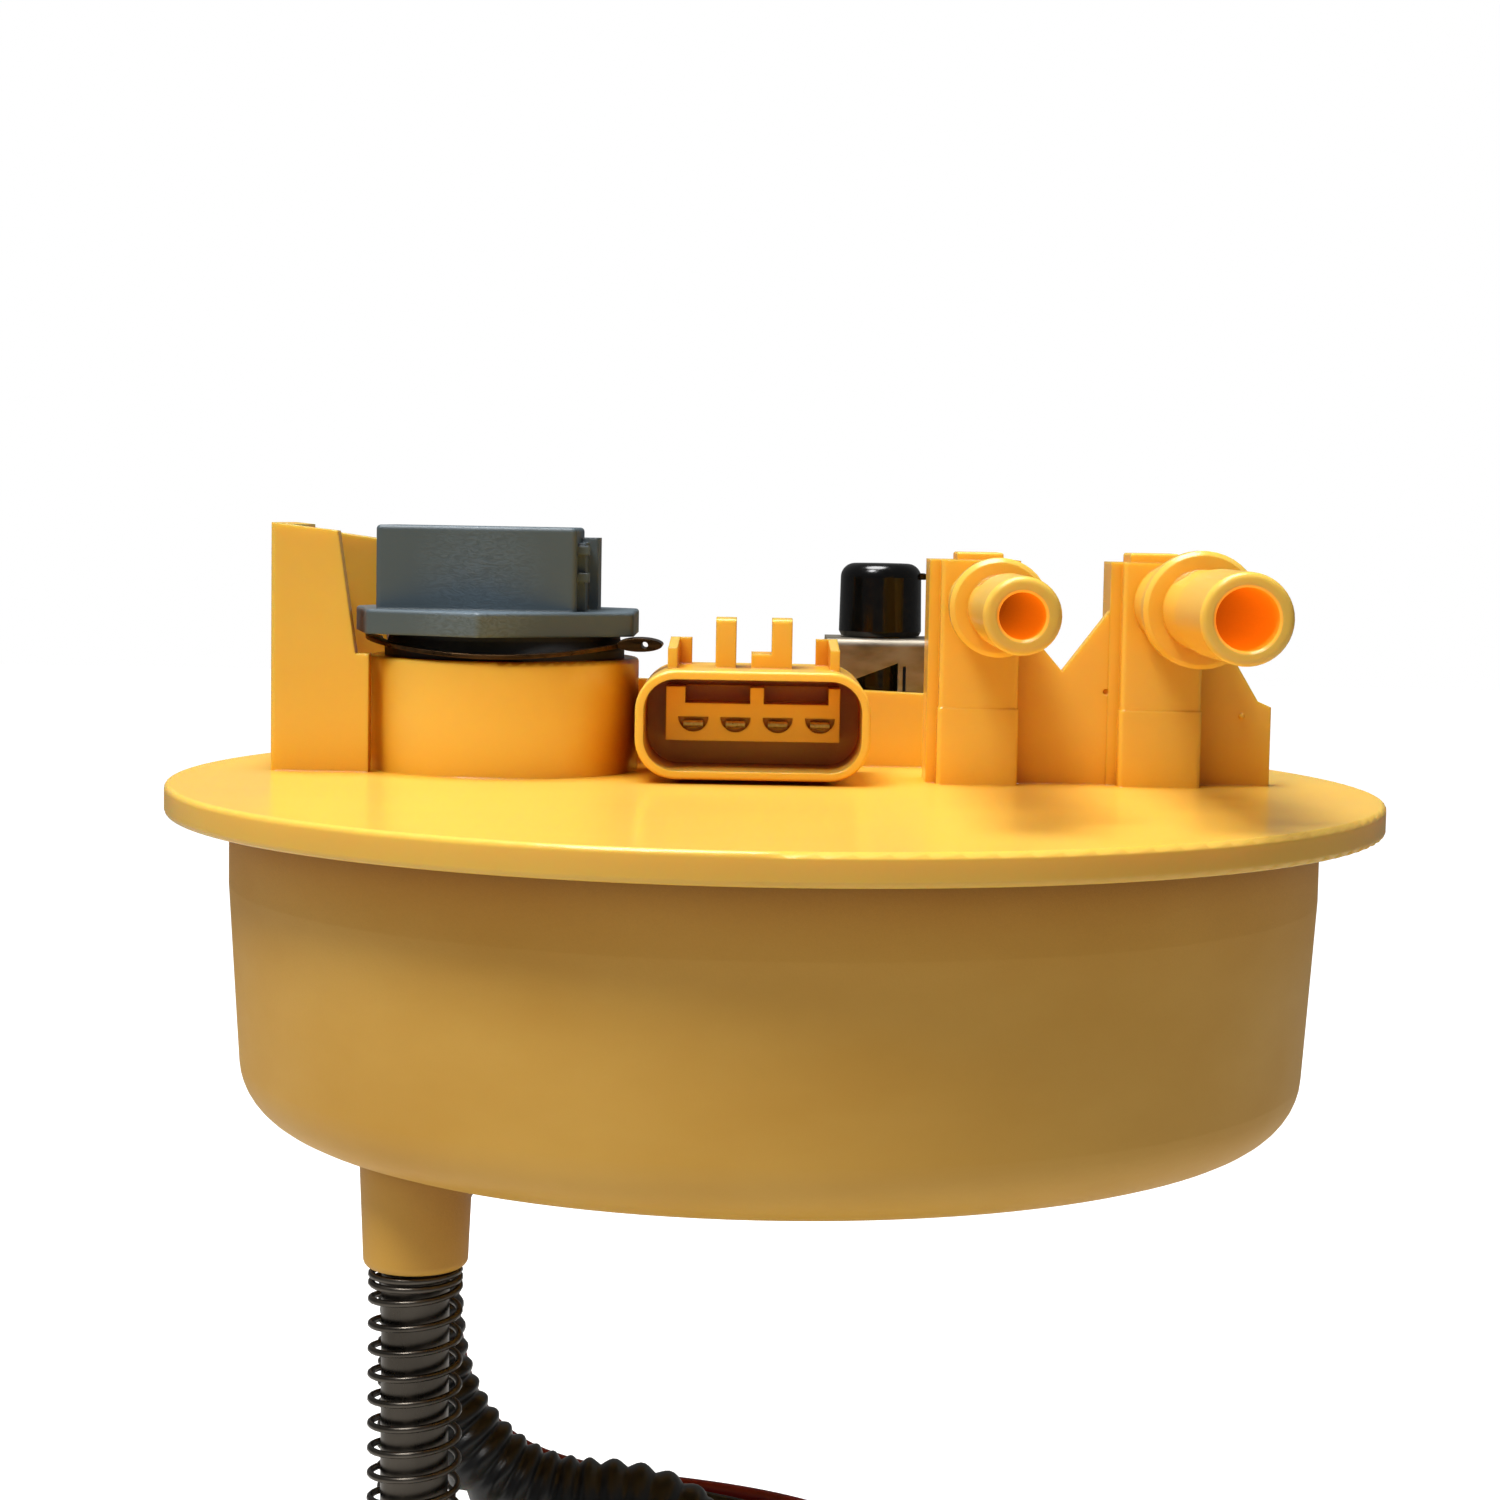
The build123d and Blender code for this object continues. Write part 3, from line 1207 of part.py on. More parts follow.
save("rotor_shaft", rotor_shaft())
save("armature_core", armature())
save("armature_windings", armature_windings())
save("commutator", commutator())
save("motor_magnets", magnets())
save("flux_ring", flux_ring())
save("pump_end_cap", pump_end_cap())
save("brushes", brushes())
save("brush_springs", brush_springs())
save("pump_pins", group(pump_pin_list()))
save("check_valve", check_valve())
save("check_valve_spring", check_spring())
save("pump_sleeve", pump_sleeve())
save("pump_cradle", pump_cradle())
save("strainer_sock", strainer_sock())
save("strainer_clip", strainer_clip())
save("sender_housing", sender_housing())
save("resistor_card", resistor_card())
save("sender_hub", sender_hub())
save("sender_contact", sender_contact())
save("float_arm", float_arm())
save("level_float", level_float())
save("supply_hose", supply_hose())
save("hose_clamp_upper", clamp(hose_x, hose_y, drum_low - 10.0))
save("hose_clamp_lower", clamp(outlet_x, pump_y, hose_end + 3.0))
save("harness_plug", upper_plug())
save("power_wires", group([tube("power wire", power_wire(i), wire_r) for i in range(2)]))
save("sender_wires", group([tube("sender wire", sender_wire(i), wire_r) for i in range(2)]))
save("pump_plug", pump_plug())
save("sender_plug", sender_plug())
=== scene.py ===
import json
from math import cos, pi, sin

import bmesh
import bpy
from mathutils import Matrix, Vector, noise


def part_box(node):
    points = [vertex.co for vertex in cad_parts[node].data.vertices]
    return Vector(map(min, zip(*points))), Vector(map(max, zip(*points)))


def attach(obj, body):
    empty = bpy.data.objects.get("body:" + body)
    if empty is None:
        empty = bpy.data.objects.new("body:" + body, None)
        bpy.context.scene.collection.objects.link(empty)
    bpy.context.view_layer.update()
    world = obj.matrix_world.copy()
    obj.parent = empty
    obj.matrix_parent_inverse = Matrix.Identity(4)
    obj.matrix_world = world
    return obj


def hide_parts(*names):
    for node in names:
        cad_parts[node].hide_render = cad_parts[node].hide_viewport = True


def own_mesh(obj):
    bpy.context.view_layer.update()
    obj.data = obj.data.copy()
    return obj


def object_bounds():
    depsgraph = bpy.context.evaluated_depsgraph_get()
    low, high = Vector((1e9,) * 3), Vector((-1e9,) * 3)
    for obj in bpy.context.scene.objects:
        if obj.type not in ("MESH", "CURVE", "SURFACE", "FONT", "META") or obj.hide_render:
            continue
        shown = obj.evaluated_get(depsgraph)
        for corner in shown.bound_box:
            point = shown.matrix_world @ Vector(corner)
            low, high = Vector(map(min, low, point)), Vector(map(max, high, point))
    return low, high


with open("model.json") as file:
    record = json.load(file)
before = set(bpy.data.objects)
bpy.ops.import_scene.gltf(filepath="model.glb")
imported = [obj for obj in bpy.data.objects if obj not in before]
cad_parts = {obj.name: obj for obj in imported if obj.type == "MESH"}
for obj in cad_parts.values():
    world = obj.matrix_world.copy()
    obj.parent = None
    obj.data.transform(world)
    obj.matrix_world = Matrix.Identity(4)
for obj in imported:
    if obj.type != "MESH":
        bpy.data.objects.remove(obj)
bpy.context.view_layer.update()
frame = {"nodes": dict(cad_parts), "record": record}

nodes = frame["nodes"]
mm = 0.001


# Colours and shader nodes
def linear(colour):
    """Linear RGBA of an sRGB hex colour."""
    shares = [int(colour[i:i + 2], 16) / 255 for i in (1, 3, 5)]
    return [s / 12.92 if s <= 0.04045 else ((s + 0.055) / 1.055) ** 2.4 for s in shares] + [1.0]


def add(tree, kind, inputs=None, **settings):
    """Add a shader node. An input's value is a plain value, or another node's output to link."""
    new = tree.nodes.new("ShaderNode" + kind)
    for name, value in settings.items():
        setattr(new, name, value)
    for name, value in (inputs or {}).items():
        if isinstance(value, bpy.types.NodeSocket):
            tree.links.new(value, new.inputs[name])
        else:
            new.inputs[name].default_value = value
    return new


def surface(name, colour, roughness, **sockets):
    """A new material with one Principled shader. Returns it with its tree, shader and coordinates."""
    material = bpy.data.materials.new(name)
    material.use_nodes = True
    tree = material.node_tree
    shader = tree.nodes["Principled BSDF"]
    shader.inputs["Base Color"].default_value = linear(colour)
    shader.inputs["Roughness"].default_value = roughness
    for socket, value in sockets.items():
        shader.inputs[socket.replace("_", " ")].default_value = value
    place = add(tree, "TexCoord").outputs["Object"]
    return material, tree, shader, place


def grain(tree, place, size, detail=2.0, stretch=(1, 1, 1), distortion=0.0):
    """Noise whose blotches are size metres across, stretched by a factor along each axis."""
    scale = add(tree, "Mapping", {"Vector": place, "Scale": [1 / (size * s) for s in stretch]})
    return add(tree, "TexNoise", {"Vector": scale.outputs["Vector"], "Scale": 1.0, "Detail": detail,
                                  "Distortion": distortion}).outputs["Fac"]


def spread(tree, value, low, high, start=0.3, end=0.7):
    """The value's range start to end, turned into low to high."""
    return add(tree, "MapRange", {"Value": value, "From Min": start, "From Max": end, "To Min": low,
                                  "To Max": high}).outputs["Result"]


def mixed(tree, share, first, second):
    """Colour between two, by share. Each is a hex colour or another node's output."""
    blend = add(tree, "Mix", {"Factor": share}, data_type="RGBA")
    for socket, colour in (("A", first), ("B", second)):
        if isinstance(colour, str):
            blend.inputs[socket].default_value = linear(colour)
        else:
            tree.links.new(colour, blend.inputs[socket])
    return blend.outputs["Result"]


def product(tree, first, second):
    return add(tree, "Math", {0: first, 1: second}, operation="MULTIPLY").outputs[0]


def bands(tree, place, axis, pitch, distortion=0.0):
    """Soft bands across an axis, pitch metres apart. At scale 1 they repeat every pi / 10 metres."""
    return add(tree, "TexWave", {"Vector": place, "Scale": pi / 10 / pitch, "Distortion": distortion},
               bands_direction=axis).outputs["Fac"]


def paint(tree, shader, share, first, second):
    tree.links.new(mixed(tree, share, first, second), shader.inputs["Base Color"])


def roughen(tree, shader, value):
    tree.links.new(value, shader.inputs["Roughness"])


def with_painted_shade(tree, skin, reach, corner, hollow_shade):
    """The skin's colour with painted shade, darker in corners and more in hollows, by the surfaces within
    reach metres.
    """
    air = add(tree, "AmbientOcclusion", {"Distance": reach}, samples=6).outputs["AO"]
    corner_shaded = mixed(tree, spread(tree, air, 1.0, 0.0, 0.4, 0.92), skin, corner)
    return mixed(tree, spread(tree, air, 1.0, 0.0, 0.08, 0.4), corner_shaded, hollow_shade)


def emboss(tree, shader, height, depth, edge=0.0):
    """Bump of that depth in metres, over edges rounded by edge metres."""
    inputs = {"Height": height, "Distance": depth, "Strength": 1.0}
    if edge:
        inputs["Normal"] = add(tree, "Bevel", {"Radius": edge}, samples=4).outputs["Normal"]
    tree.links.new(add(tree, "Bump", inputs).outputs["Normal"], shader.inputs["Normal"])


# The nipples' axes run along Y through these mounts, and their bores have these radii
nipple_places = {mount["name"]: mount["pos_m"] for mount in frame["record"]["mounts"]
                 if "nipple" in mount["name"]}
bore_r = {"supply_nipple": 3.2 * mm, "vapour_nipple": 2.35 * mm}
near_y, far_y = -48 * mm, 3 * mm
near_painted_glow, far_painted_glow = 0.62, 0.12


def painted_bore_glow(tree, place):
    """Strength of the painted glow in the nipples' bores, which stands in for light seeping through their
    walls.
    """
    painted_glows = []
    for name, (axis_x, _, axis_z) in nipple_places.items():
        axis = (axis_x, 0, axis_z)
        off_axis = add(tree, "VectorMath", {0: place, 1: axis}, operation="SUBTRACT").outputs[0]
        flat = add(tree, "VectorMath", {0: off_axis, 1: (1, 0, 1)}, operation="MULTIPLY").outputs[0]
        away = add(tree, "VectorMath", {0: flat}, operation="LENGTH").outputs["Value"]
        painted_glows.append(spread(tree, away, 1.0, 0.0, bore_r[name] + 0.1 * mm, bore_r[name] + 0.3 * mm))
    glow = add(tree, "Math", {0: painted_glows[0], 1: painted_glows[1]}, operation="ADD").outputs[0]
    # the painted glow fades from just inside the mouths back to the posts
    depth = add(tree, "SeparateXYZ", {"Vector": place}).outputs["Y"]
    return product(tree, glow, spread(tree, depth, near_painted_glow, far_painted_glow, near_y, far_y))


# Plate with its nipples and posts: yellow acetal, injection moulded. Waxy and a little see-through, so that
# thin walls glow orange, with a satin skin. The orange glow in the bores is painted light.
def yellow_acetal():
    material, tree, shader, place = surface("yellow acetal", "#F5BE50", 0.32, IOR=1.48,
                                            Subsurface_Weight=0.3, Subsurface_Scale=4 * mm)
    shader.inputs["Subsurface Radius"].default_value = (1.0, 0.5, 0.1)
    # flow clouds a few centimetres wide
    clouds = grain(tree, place, 24 * mm, 2.0, (1.6, 1, 1))
    skin = mixed(tree, spread(tree, clouds, 0.0, 1.0), "#F8C95A", "#F2C052")
    # painted shade: corners and hollows are darkened to a deep orange by ambient occlusion
    deep = with_painted_shade(tree, skin, 7 * mm, "#EDB02C", "#B86008")
    tree.links.new(deep, shader.inputs["Base Color"])
    roughen(tree, shader, spread(tree, clouds, 0.19, 0.26))
    # painted glow: the bores get a deep orange emission
    shader.inputs["Emission Color"].default_value = linear("#DE7008")
    tree.links.new(painted_bore_glow(tree, place), shader.inputs["Emission Strength"])
    # spark-eroded mould skin: 0.15 mm grit, drawn at 0.5 mm so that it shows
    emboss(tree, shader, grain(tree, place, 0.5 * mm, 3.0), 0.008 * mm, edge=0.35 * mm)
    return material


# Drum: the same acetal from a rougher mould, so it is matte
def matte_acetal():
    material, tree, shader, place = surface("matte yellow acetal", "#EDB047", 0.5, IOR=1.48,
                                            Subsurface_Weight=0.1, Subsurface_Scale=2.2 * mm)
    shader.inputs["Subsurface Radius"].default_value = (1.0, 0.5, 0.1)
    clouds = grain(tree, place, 26 * mm, 4.0, (1.0, 1.0, 0.5))
    skin = mixed(tree, spread(tree, clouds, 0.0, 1.0), "#EDB74E", "#E4AB42")
    # painted shade: the drum darkens to brown under the rim and in corners, by surfaces within 22 mm
    tree.links.new(with_painted_shade(tree, skin, 22 * mm, "#845004", "#5E3000"), shader.inputs["Base Color"])
    roughen(tree, shader, spread(tree, clouds, 0.44, 0.54))
    emboss(tree, shader, grain(tree, place, 0.5 * mm, 3.0), 0.02 * mm, edge=0.3 * mm)
    return material


# Sensor: grey glass-filled nylon. Fibres near the skin leave a fan of wrinkled marks on the front, lighter
# and bluish partly in their own colour and partly as painted sheen.
def grey_nylon():
    material, tree, shader, place = surface("grey glass-filled nylon", "#52606A", 0.4, IOR=1.53)
    marks = grain(tree, place, 1.1 * mm, 4.0, (1.5, 1, 0.55), 2.2)
    low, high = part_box("pressure_sensor")
    middle = (low + high) / 2
    # the fan fades out from 4 to 11 mm away from a place on the front, 5 mm below the top
    source = (middle.x - 1 * mm, low.y, high.z - 5 * mm)
    away = add(tree, "VectorMath", {0: place, 1: source}, operation="DISTANCE").outputs["Value"]
    fan = spread(tree, away, 1.0, 0.0, 4 * mm, 11 * mm)
    share = product(tree, spread(tree, marks, 0.0, 1.0, 0.35, 0.65), fan)
    # partly painted sheen: the fan's lighter bluish tone is the marks' own colour plus a painted sheen
    paint(tree, shader, share, "#505E66", "#6B7C8A")
    roughen(tree, shader, spread(tree, share, 0.46, 0.34, 0.0, 1.0))
    height = product(tree, marks, spread(tree, fan, 0.06, 1.0, 0.0, 1.0))
    emboss(tree, shader, height, 0.10 * mm, edge=0.4 * mm)
    return material


# Seals, inlet flap and pump sleeve: nitrile rubber, moulded. Near black and dull, with a dusty bloom.
def black_rubber():
    material, tree, shader, place = surface("nitrile rubber", "#1B1B1B", 0.62, IOR=1.52)
    bloom = grain(tree, place, 6 * mm, 4.0)
    paint(tree, shader, spread(tree, bloom, 0.0, 1.0), "#161616", "#242323")
    emboss(tree, shader, grain(tree, place, 0.6 * mm, 3.0), 0.03 * mm, edge=0.2 * mm)
    return material


# Dust cap: dip-moulded vinyl. The dipped skin is glossy and slightly wavy.
def black_vinyl():
    material, tree, shader, place = surface("dip-moulded vinyl", "#040404", 0.2, IOR=1.4, Coat_Weight=0.15,
                                            Coat_Roughness=0.08)
    waves = grain(tree, place, 2.4 * mm, 1.0)
    roughen(tree, shader, spread(tree, grain(tree, place, 1.2 * mm, 3.0), 0.13, 0.26))
    emboss(tree, shader, waves, 0.05 * mm)
    return material


def metal(name, dark, light, roughness, size, stretch, depth, edge=0.15):
    """A metal with brushed or drawn lines. Their size and depth, and the rounding of edges, are in mm."""
    material, tree, shader, place = surface(name, light, roughness, Metallic=1.0)
    lines = grain(tree, place, size * mm, 3.0, stretch)
    tone = grain(tree, place, 7 * mm, 3.0)
    share = add(tree, "Math", {0: spread(tree, lines, 0.0, 0.6), 1: spread(tree, tone, 0.0, 0.4)},
                operation="ADD").outputs[0]
    paint(tree, shader, share, dark, light)
    roughen(tree, shader, spread(tree, lines, roughness * 0.8, roughness * 1.35))
    emboss(tree, shader, lines, depth * mm, edge=edge * mm)
    return material


# Clip: spring steel strip, blued by its heat treatment, dark bronze in colour
def blued_spring_steel():
    return metal("blued spring steel", "#33261A", "#5E4730", roughness=0.3, size=0.5, stretch=(8, 1, 1),
                 depth=0.01)


# Pins and sender contact: tin-plated brass, rolled and stamped. Dull silver with brass showing through.
def tinned_brass():
    return metal("tin-plated brass", "#8E7B55", "#C2B48F", roughness=0.34, size=0.4, stretch=(1, 8, 1),
                 depth=0.008)


# Bracket, hose clamps, rod rings and regulator: zinc-plated steel. The plating has dulled to a warm grey
# with fine scratches.
def dull_zinc():
    return metal("dull zinc plate", "#7C7468", "#A79F90", roughness=0.46, size=0.6, stretch=(5, 1, 2),
                 depth=0.015)


# Rods, springs, shaft and float arm: ground rod and drawn wire with a light oil film, dark grey and smooth
def oiled_steel():
    return metal("oiled spring steel", "#4A453F", "#6A645C", roughness=0.3, size=3.0, stretch=(1, 1, 4),
                 depth=0.002, edge=0.1)


# Pump can, flux ring and armature core: rolled and tinned steel, bright satin with lines round it
def rolled_steel():
    return metal("rolled steel can", "#9C9C9A", "#C9C9C6", roughness=0.26, size=0.5, stretch=(6, 6, 0.6),
                 depth=0.006)


# Windings and commutator: copper, under clear enamel where it is wound
def enamelled_copper():
    return metal("enamelled copper wire", "#7A3A17", "#C9713A", roughness=0.3, size=0.7, stretch=(1, 1, 5),
                 depth=0.12)


def plain_plastic(name, dark, light, roughness, size=12.0, depth=0.012, edge=0.25, **sockets):
    """A plastic with faint clouds and a fine skin. Size, depth and the rounding of edges are in mm."""
    material, tree, shader, place = surface(name, light, roughness, **sockets)
    paint(tree, shader, spread(tree, grain(tree, place, size * mm, 4.0), 0.0, 1.0), dark, light)
    patches = grain(tree, place, size * mm * 0.4, 3.0)
    roughen(tree, shader, spread(tree, patches, roughness * 0.85, roughness * 1.15))
    emboss(tree, shader, grain(tree, place, 0.5 * mm, 3.0), depth * mm, edge=edge * mm)
    return material


# Magnets: sintered ferrite, a ceramic with a chalky dark skin
def sintered_ferrite():
    return plain_plastic("sintered ferrite", "#2A2A2C", "#3B3B3E", roughness=0.6, size=5.0, depth=0.04)


# Brushes: pressed carbon, dull black with a graphite shine
def pressed_carbon():
    return plain_plastic("pressed carbon", "#1A1A1B", "#2B2B2C", roughness=0.45, size=3.0, depth=0.02)


# Reservoir, its cover, vent valve, filter caps, pump carrier and level sender: natural acetal, milky white
def natural_acetal():
    return plain_plastic("natural acetal", "#E6E3D9", "#EDEAE1", roughness=0.34, size=30.0, depth=0.004,
                         IOR=1.48, Subsurface_Weight=0.3, Subsurface_Scale=2.5 * mm)


# Pump ends, impeller, check valve, wire plugs and strainer clip: black moulded acetal, satin
def black_acetal():
    return plain_plastic("black acetal", "#17181A", "#232427", roughness=0.38, size=16.0, depth=0.02,
                         IOR=1.48)


# Filter: resin-treated paper, pleated. The fibres make it blotchy.
def pleated_paper():
    return plain_plastic("filter paper", "#CDB27A", "#E3CD9A", roughness=0.85, size=4.0, depth=0.06)


# Hose: convoluted nylon tube, extruded black
def nylon_hose():
    return plain_plastic("convoluted nylon tube", "#101112", "#1C1D1F", roughness=0.33, size=9.0, depth=0.01,
                         edge=0.1)


# Wires: fuel-resistant insulation, extruded in a plain colour
def wire_skin(name, dark, light):
    return plain_plastic(name, dark, light, roughness=0.4, size=6.0, depth=0.006, edge=0.05)


# Level card: white alumina ceramic with a row of dark printed bars above its middle
def ceramic_card():
    material, tree, shader, place = surface("alumina card", "#E4E2DA", 0.5)
    bar_pitch, blur = 3.155 * mm, 0.2 * mm
    low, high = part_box("resistor_card")
    middle = (low.z + high.z) / 2
    row_low, row_high = middle + 3 * mm, middle + 9 * mm
    height = add(tree, "SeparateXYZ", {"Vector": place}).outputs["Z"]
    above = spread(tree, height, 0.0, 1.0, row_low, row_low + blur)
    below = spread(tree, height, 1.0, 0.0, row_high, row_high + blur)
    bars = spread(tree, bands(tree, place, "Y", bar_pitch), 0.3, 1.0)
    paint(tree, shader, product(tree, product(tree, above, below), bars), "#E4E2DA", "#3B3A3A")
    return material


# Strainer: nylon monofilament cloth. Threads 0.1 mm apart, drawn 0.7 mm apart so that the weave shows.
def strainer_cloth():
    material, tree, shader, place = surface("nylon strainer cloth", "#CFCBBE", 0.6, Sheen_Weight=0.25)
    thread_gap = 0.7037 * mm
    weave = product(tree, *[bands(tree, place, axis, thread_gap, 0.3) for axis in "XY"])
    paint(tree, shader, weave, "#A8A497", "#DDDACD")
    emboss(tree, shader, weave, 0.12 * mm)
    return material


# Float: closed-cell nitrile foam, black, with pin-prick pores on its cut skin
def nitrile_foam():
    material, tree, shader, place = surface("nitrile foam", "#1D1D1E", 0.8)
    cells = add(tree, "TexVoronoi", {"Vector": place, "Scale": 1 / (0.9 * mm)}).outputs["Distance"]
    paint(tree, shader, spread(tree, cells, 0.0, 1.0, 0.0, 0.5), "#101011", "#2A2A2C")
    emboss(tree, shader, cells, 0.12 * mm)
    return material


finishes = {
    "yellow_acetal": yellow_acetal(),
    "grey_nylon": grey_nylon(),
    "black_rubber": black_rubber(),
    "black_vinyl": black_vinyl(),
    "bronze_spring": blued_spring_steel(),
    "tin_contact": tinned_brass(),
    "zinc_steel": dull_zinc(),
    "dark_steel": oiled_steel(),
    "shell_steel": rolled_steel(),
    "copper": enamelled_copper(),
    "ferrite": sintered_ferrite(),
    "carbon": pressed_carbon(),
    "filter_paper": pleated_paper(),
    "natural_acetal": natural_acetal(),
    "black_plastic": black_acetal(),
    "black_hose": nylon_hose(),
    "wire_skin": wire_skin("black wire skin", "#151515", "#202020"),
    "mesh_fabric": strainer_cloth(),
    "resistor_ceramic": ceramic_card(),
    "float_foam": nitrile_foam(),
}


def dress_cad_nodes():
    """Give each CAD node its slot's finish."""
    for subpart in frame["record"]["subparts"]:
        mesh = nodes[subpart["node"]].data
        mesh.materials.clear()
        mesh.materials.append(finishes[subpart["material_slot"]])
    nodes["filter_drum"].data.materials[0] = matte_acetal()


# Tubes and coils
def ring_frames(points):
    """A position, normal and binormal at each point, turned as little as possible along the line."""
    frames = []
    side = None
    for i, point in enumerate(points):
        ahead = (points[min(i + 1, len(points) - 1)] - points[max(i - 1, 0)]).normalized()
        if side is None:
            side = ahead.orthogonal().normalized()
        side = (side - ahead * side.dot(ahead)).normalized()
        frames.append((point, side, ahead.cross(side)))
    return frames


def new_piece(name, mesh, material):
    """A new object with the mesh, smooth but for the caps of a tube."""
    bmesh.ops.recalc_face_normals(mesh, faces=mesh.faces)
    data = bpy.data.meshes.new(name)
    mesh.to_mesh(data)
    mesh.free()
    for face in data.polygons:
        face.use_smooth = len(face.vertices) == 4
    data.materials.append(material)
    piece = bpy.data.objects.new(name, data)
    bpy.context.scene.collection.objects.link(piece)
    return piece


def swept(name, points, radii, sides, material):
    """A closed tube along the points, with a radius at each."""
    mesh = bmesh.new()
    rings = []
    for (point, side, cross), radius in zip(ring_frames(points), radii):
        ring = []
        for k in range(sides):
            turn = 2 * pi * k / sides
            ring.append(mesh.verts.new(point + (side * cos(turn) + cross * sin(turn)) * radius))
        rings.append(ring)
    for lower, upper in zip(rings, rings[1:]):
        for k in range(sides):
            mesh.faces.new((lower[k], lower[(k + 1) % sides], upper[(k + 1) % sides], upper[k]))
    mesh.faces.new(list(reversed(rings[0])))
    mesh.faces.new(rings[-1])
    return new_piece(name, mesh, material)


def smooth_line(points):
    """Points along a smooth curve that the route's points control."""
    curve = bpy.data.curves.new("route", "CURVE")
    curve.dimensions = "3D"
    curve.resolution_u = 14
    spline = curve.splines.new("NURBS")
    spline.points.add(len(points) - 1)
    for target, point in zip(spline.points, points):
        target.co = (*[c * mm for c in point], 1.0)
    spline.use_endpoint_u = True
    spline.order_u = 3
    holder = bpy.data.objects.new("route", curve)
    bpy.context.scene.collection.objects.link(holder)
    line = bpy.data.meshes.new_from_object(holder.evaluated_get(bpy.context.evaluated_depsgraph_get()))
    found = [v.co.copy() for v in line.vertices]
    bpy.data.objects.remove(holder)
    bpy.data.meshes.remove(line)
    return found


# Springs round the guide rods: a few closed turns at each end and open turns between them
spring_radius = 4.75 * mm
spring_wire = 0.38 * mm
closed_turns = 2.0
open_turns = 20.0
closed_pitch = 0.95 * mm
steps_per_turn = 28


def rod_spring(place):
    low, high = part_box("rod_spring_" + place)
    centre = (low + high) / 2
    bottom, top = low.z + spring_wire, high.z - spring_wire
    open_pitch = (top - bottom - 2 * closed_turns * closed_pitch) / open_turns
    points = []
    turns = 2 * closed_turns + open_turns
    steps = int(turns * steps_per_turn)
    for i in range(steps + 1):
        turn = turns * i / steps
        low_part = min(turn, closed_turns)
        open_part = min(max(turn - closed_turns, 0.0), open_turns)
        high_part = max(turn - closed_turns - open_turns, 0.0)
        z = bottom + (low_part + high_part) * closed_pitch + open_part * open_pitch
        points.append(Vector((centre.x + spring_radius * cos(2 * pi * turn),
                              centre.y + spring_radius * sin(2 * pi * turn), z)))
    radii = [spring_wire] * len(points)
    piece = swept("rod_spring_wire_" + place, points, radii, 10, finishes["dark_steel"])
    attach(piece, "tank_flange")
    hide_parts("rod_spring_" + place)
    squash_between_bodies(piece)


def squash_between_bodies(piece):
    """Gives the piece a mesh of its own."""
    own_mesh(piece)


# Supply hose: convoluted tube with smooth cuffs over the two barbs. Its route is in millimetres.
drum_low = -34.9
hose_x, hose_y = -40.9, -4.0
outlet_x = -3.5
hose_top = drum_low - 3.0
hose_end = -108.0
hose_points = [(hose_x, hose_y, hose_top), (hose_x, hose_y, hose_top - 17),
               (hose_x + 2.0, hose_y, hose_top - 33), (hose_x + 13.0, hose_y, hose_top - 44),
               (outlet_x - 8.0, hose_y, hose_top - 44), (outlet_x, hose_y, hose_top - 53),
               (outlet_x, hose_y, hose_end)]
hose_step = 0.4 * mm
top_cuff, low_cuff, rib_pitch = 14 * mm, 24 * mm, 2.8 * mm
valley_r, rib_height = 4.15 * mm, 0.8 * mm
cuff_level, crest_width = 0.4, 0.6


def evenly(points, step):
    """Points a step apart along a line."""
    found = [points[0]]
    left = step
    for a, b in zip(points, points[1:]):
        length = (b - a).length
        done = 0.0
        while length - done >= left:
            done += left
            found.append(a.lerp(b, done / length))
            left = step
        left -= length - done
    found.append(points[-1])
    return found


def supply_hose():
    line = evenly(smooth_line(hose_points), hose_step)
    total = hose_step * (len(line) - 1)
    radii = []
    for i in range(len(line)):
        along = hose_step * i
        inside = min(along - top_cuff, total - along - low_cuff)
        wave = 0.5 - 0.5 * cos(2 * pi * inside / rib_pitch) if inside > 0 else cuff_level
        radii.append(valley_r + rib_height * wave ** crest_width)
    piece = swept("supply_hose_tube", line, radii, 32, finishes["black_hose"])
    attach(piece, "tank_flange")
    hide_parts("supply_hose")
    squash_between_bodies(piece)


# Wires: two to the pump, two to the level sender. Their routes are in millimetres.
well_x, well_y = -2.65, 11.0
plug_low = drum_low - 11.5
pump_x, pump_y, pump_high = 8.0, -4.0, -118.0
sender_x, sender_y, sender_z = 49.05, 12.0, -150.0
wire_r = 1.0


def wire_route(i):
    side = hose_x + 2.0 - 2.3 * (i // 2)
    y = well_y + 1.6 + 2.6 * (i % 2)
    x0 = well_x - 12.5
    z0 = plug_low + 3.0 + 3.4 * (i // 2)
    return [(x0, y - 3.0, z0), (x0 - 11, y - 3.0, z0), (side + 4.5, y - 1.5, z0 - 1.0), (side, y, z0 - 9),
            (side, y, z0 - 24)]


def power_wire(i):
    x_end = pump_x + 5.5 + 5.0 * i
    head = wire_route(i)
    x1, y1, z1 = head[-1]
    low = pump_high + 14.5
    return head + [(x1 + 3.5, y1 - 0.5, z1 - 11), (x1 + 14, y1 - 2.0, z1 - 17),
                   (x_end - 14, y1 - 5.0, z1 - 19), (x_end - 1.5, y1 - 10.0, z1 - 23),
                   (x_end, pump_y, low + 8), (x_end, pump_y, low)]


def sender_wire(i):
    head = wire_route(i + 2)
    x1, y1, z1 = head[-1]
    low = sender_z + 33.5
    x_end = sender_x + 1.9
    y_end = sender_y - 5.0 + 5.0 * i
    return head + [(x1 + 0.5, y1 + 0.5, z1 - 14), (x1 + 7, y1 + 4, z1 - 27),
                   (x1 + 24, y1 + 9, z1 - 31), (x1 + 46, y1 + 12, z1 - 31.5),
                   (x1 + 70, y1 + 8, z1 - 31), (x_end - 4, y_end + 2, z1 - 33),
                   (x_end, y_end, z1 - 42), (x_end, y_end, low)]


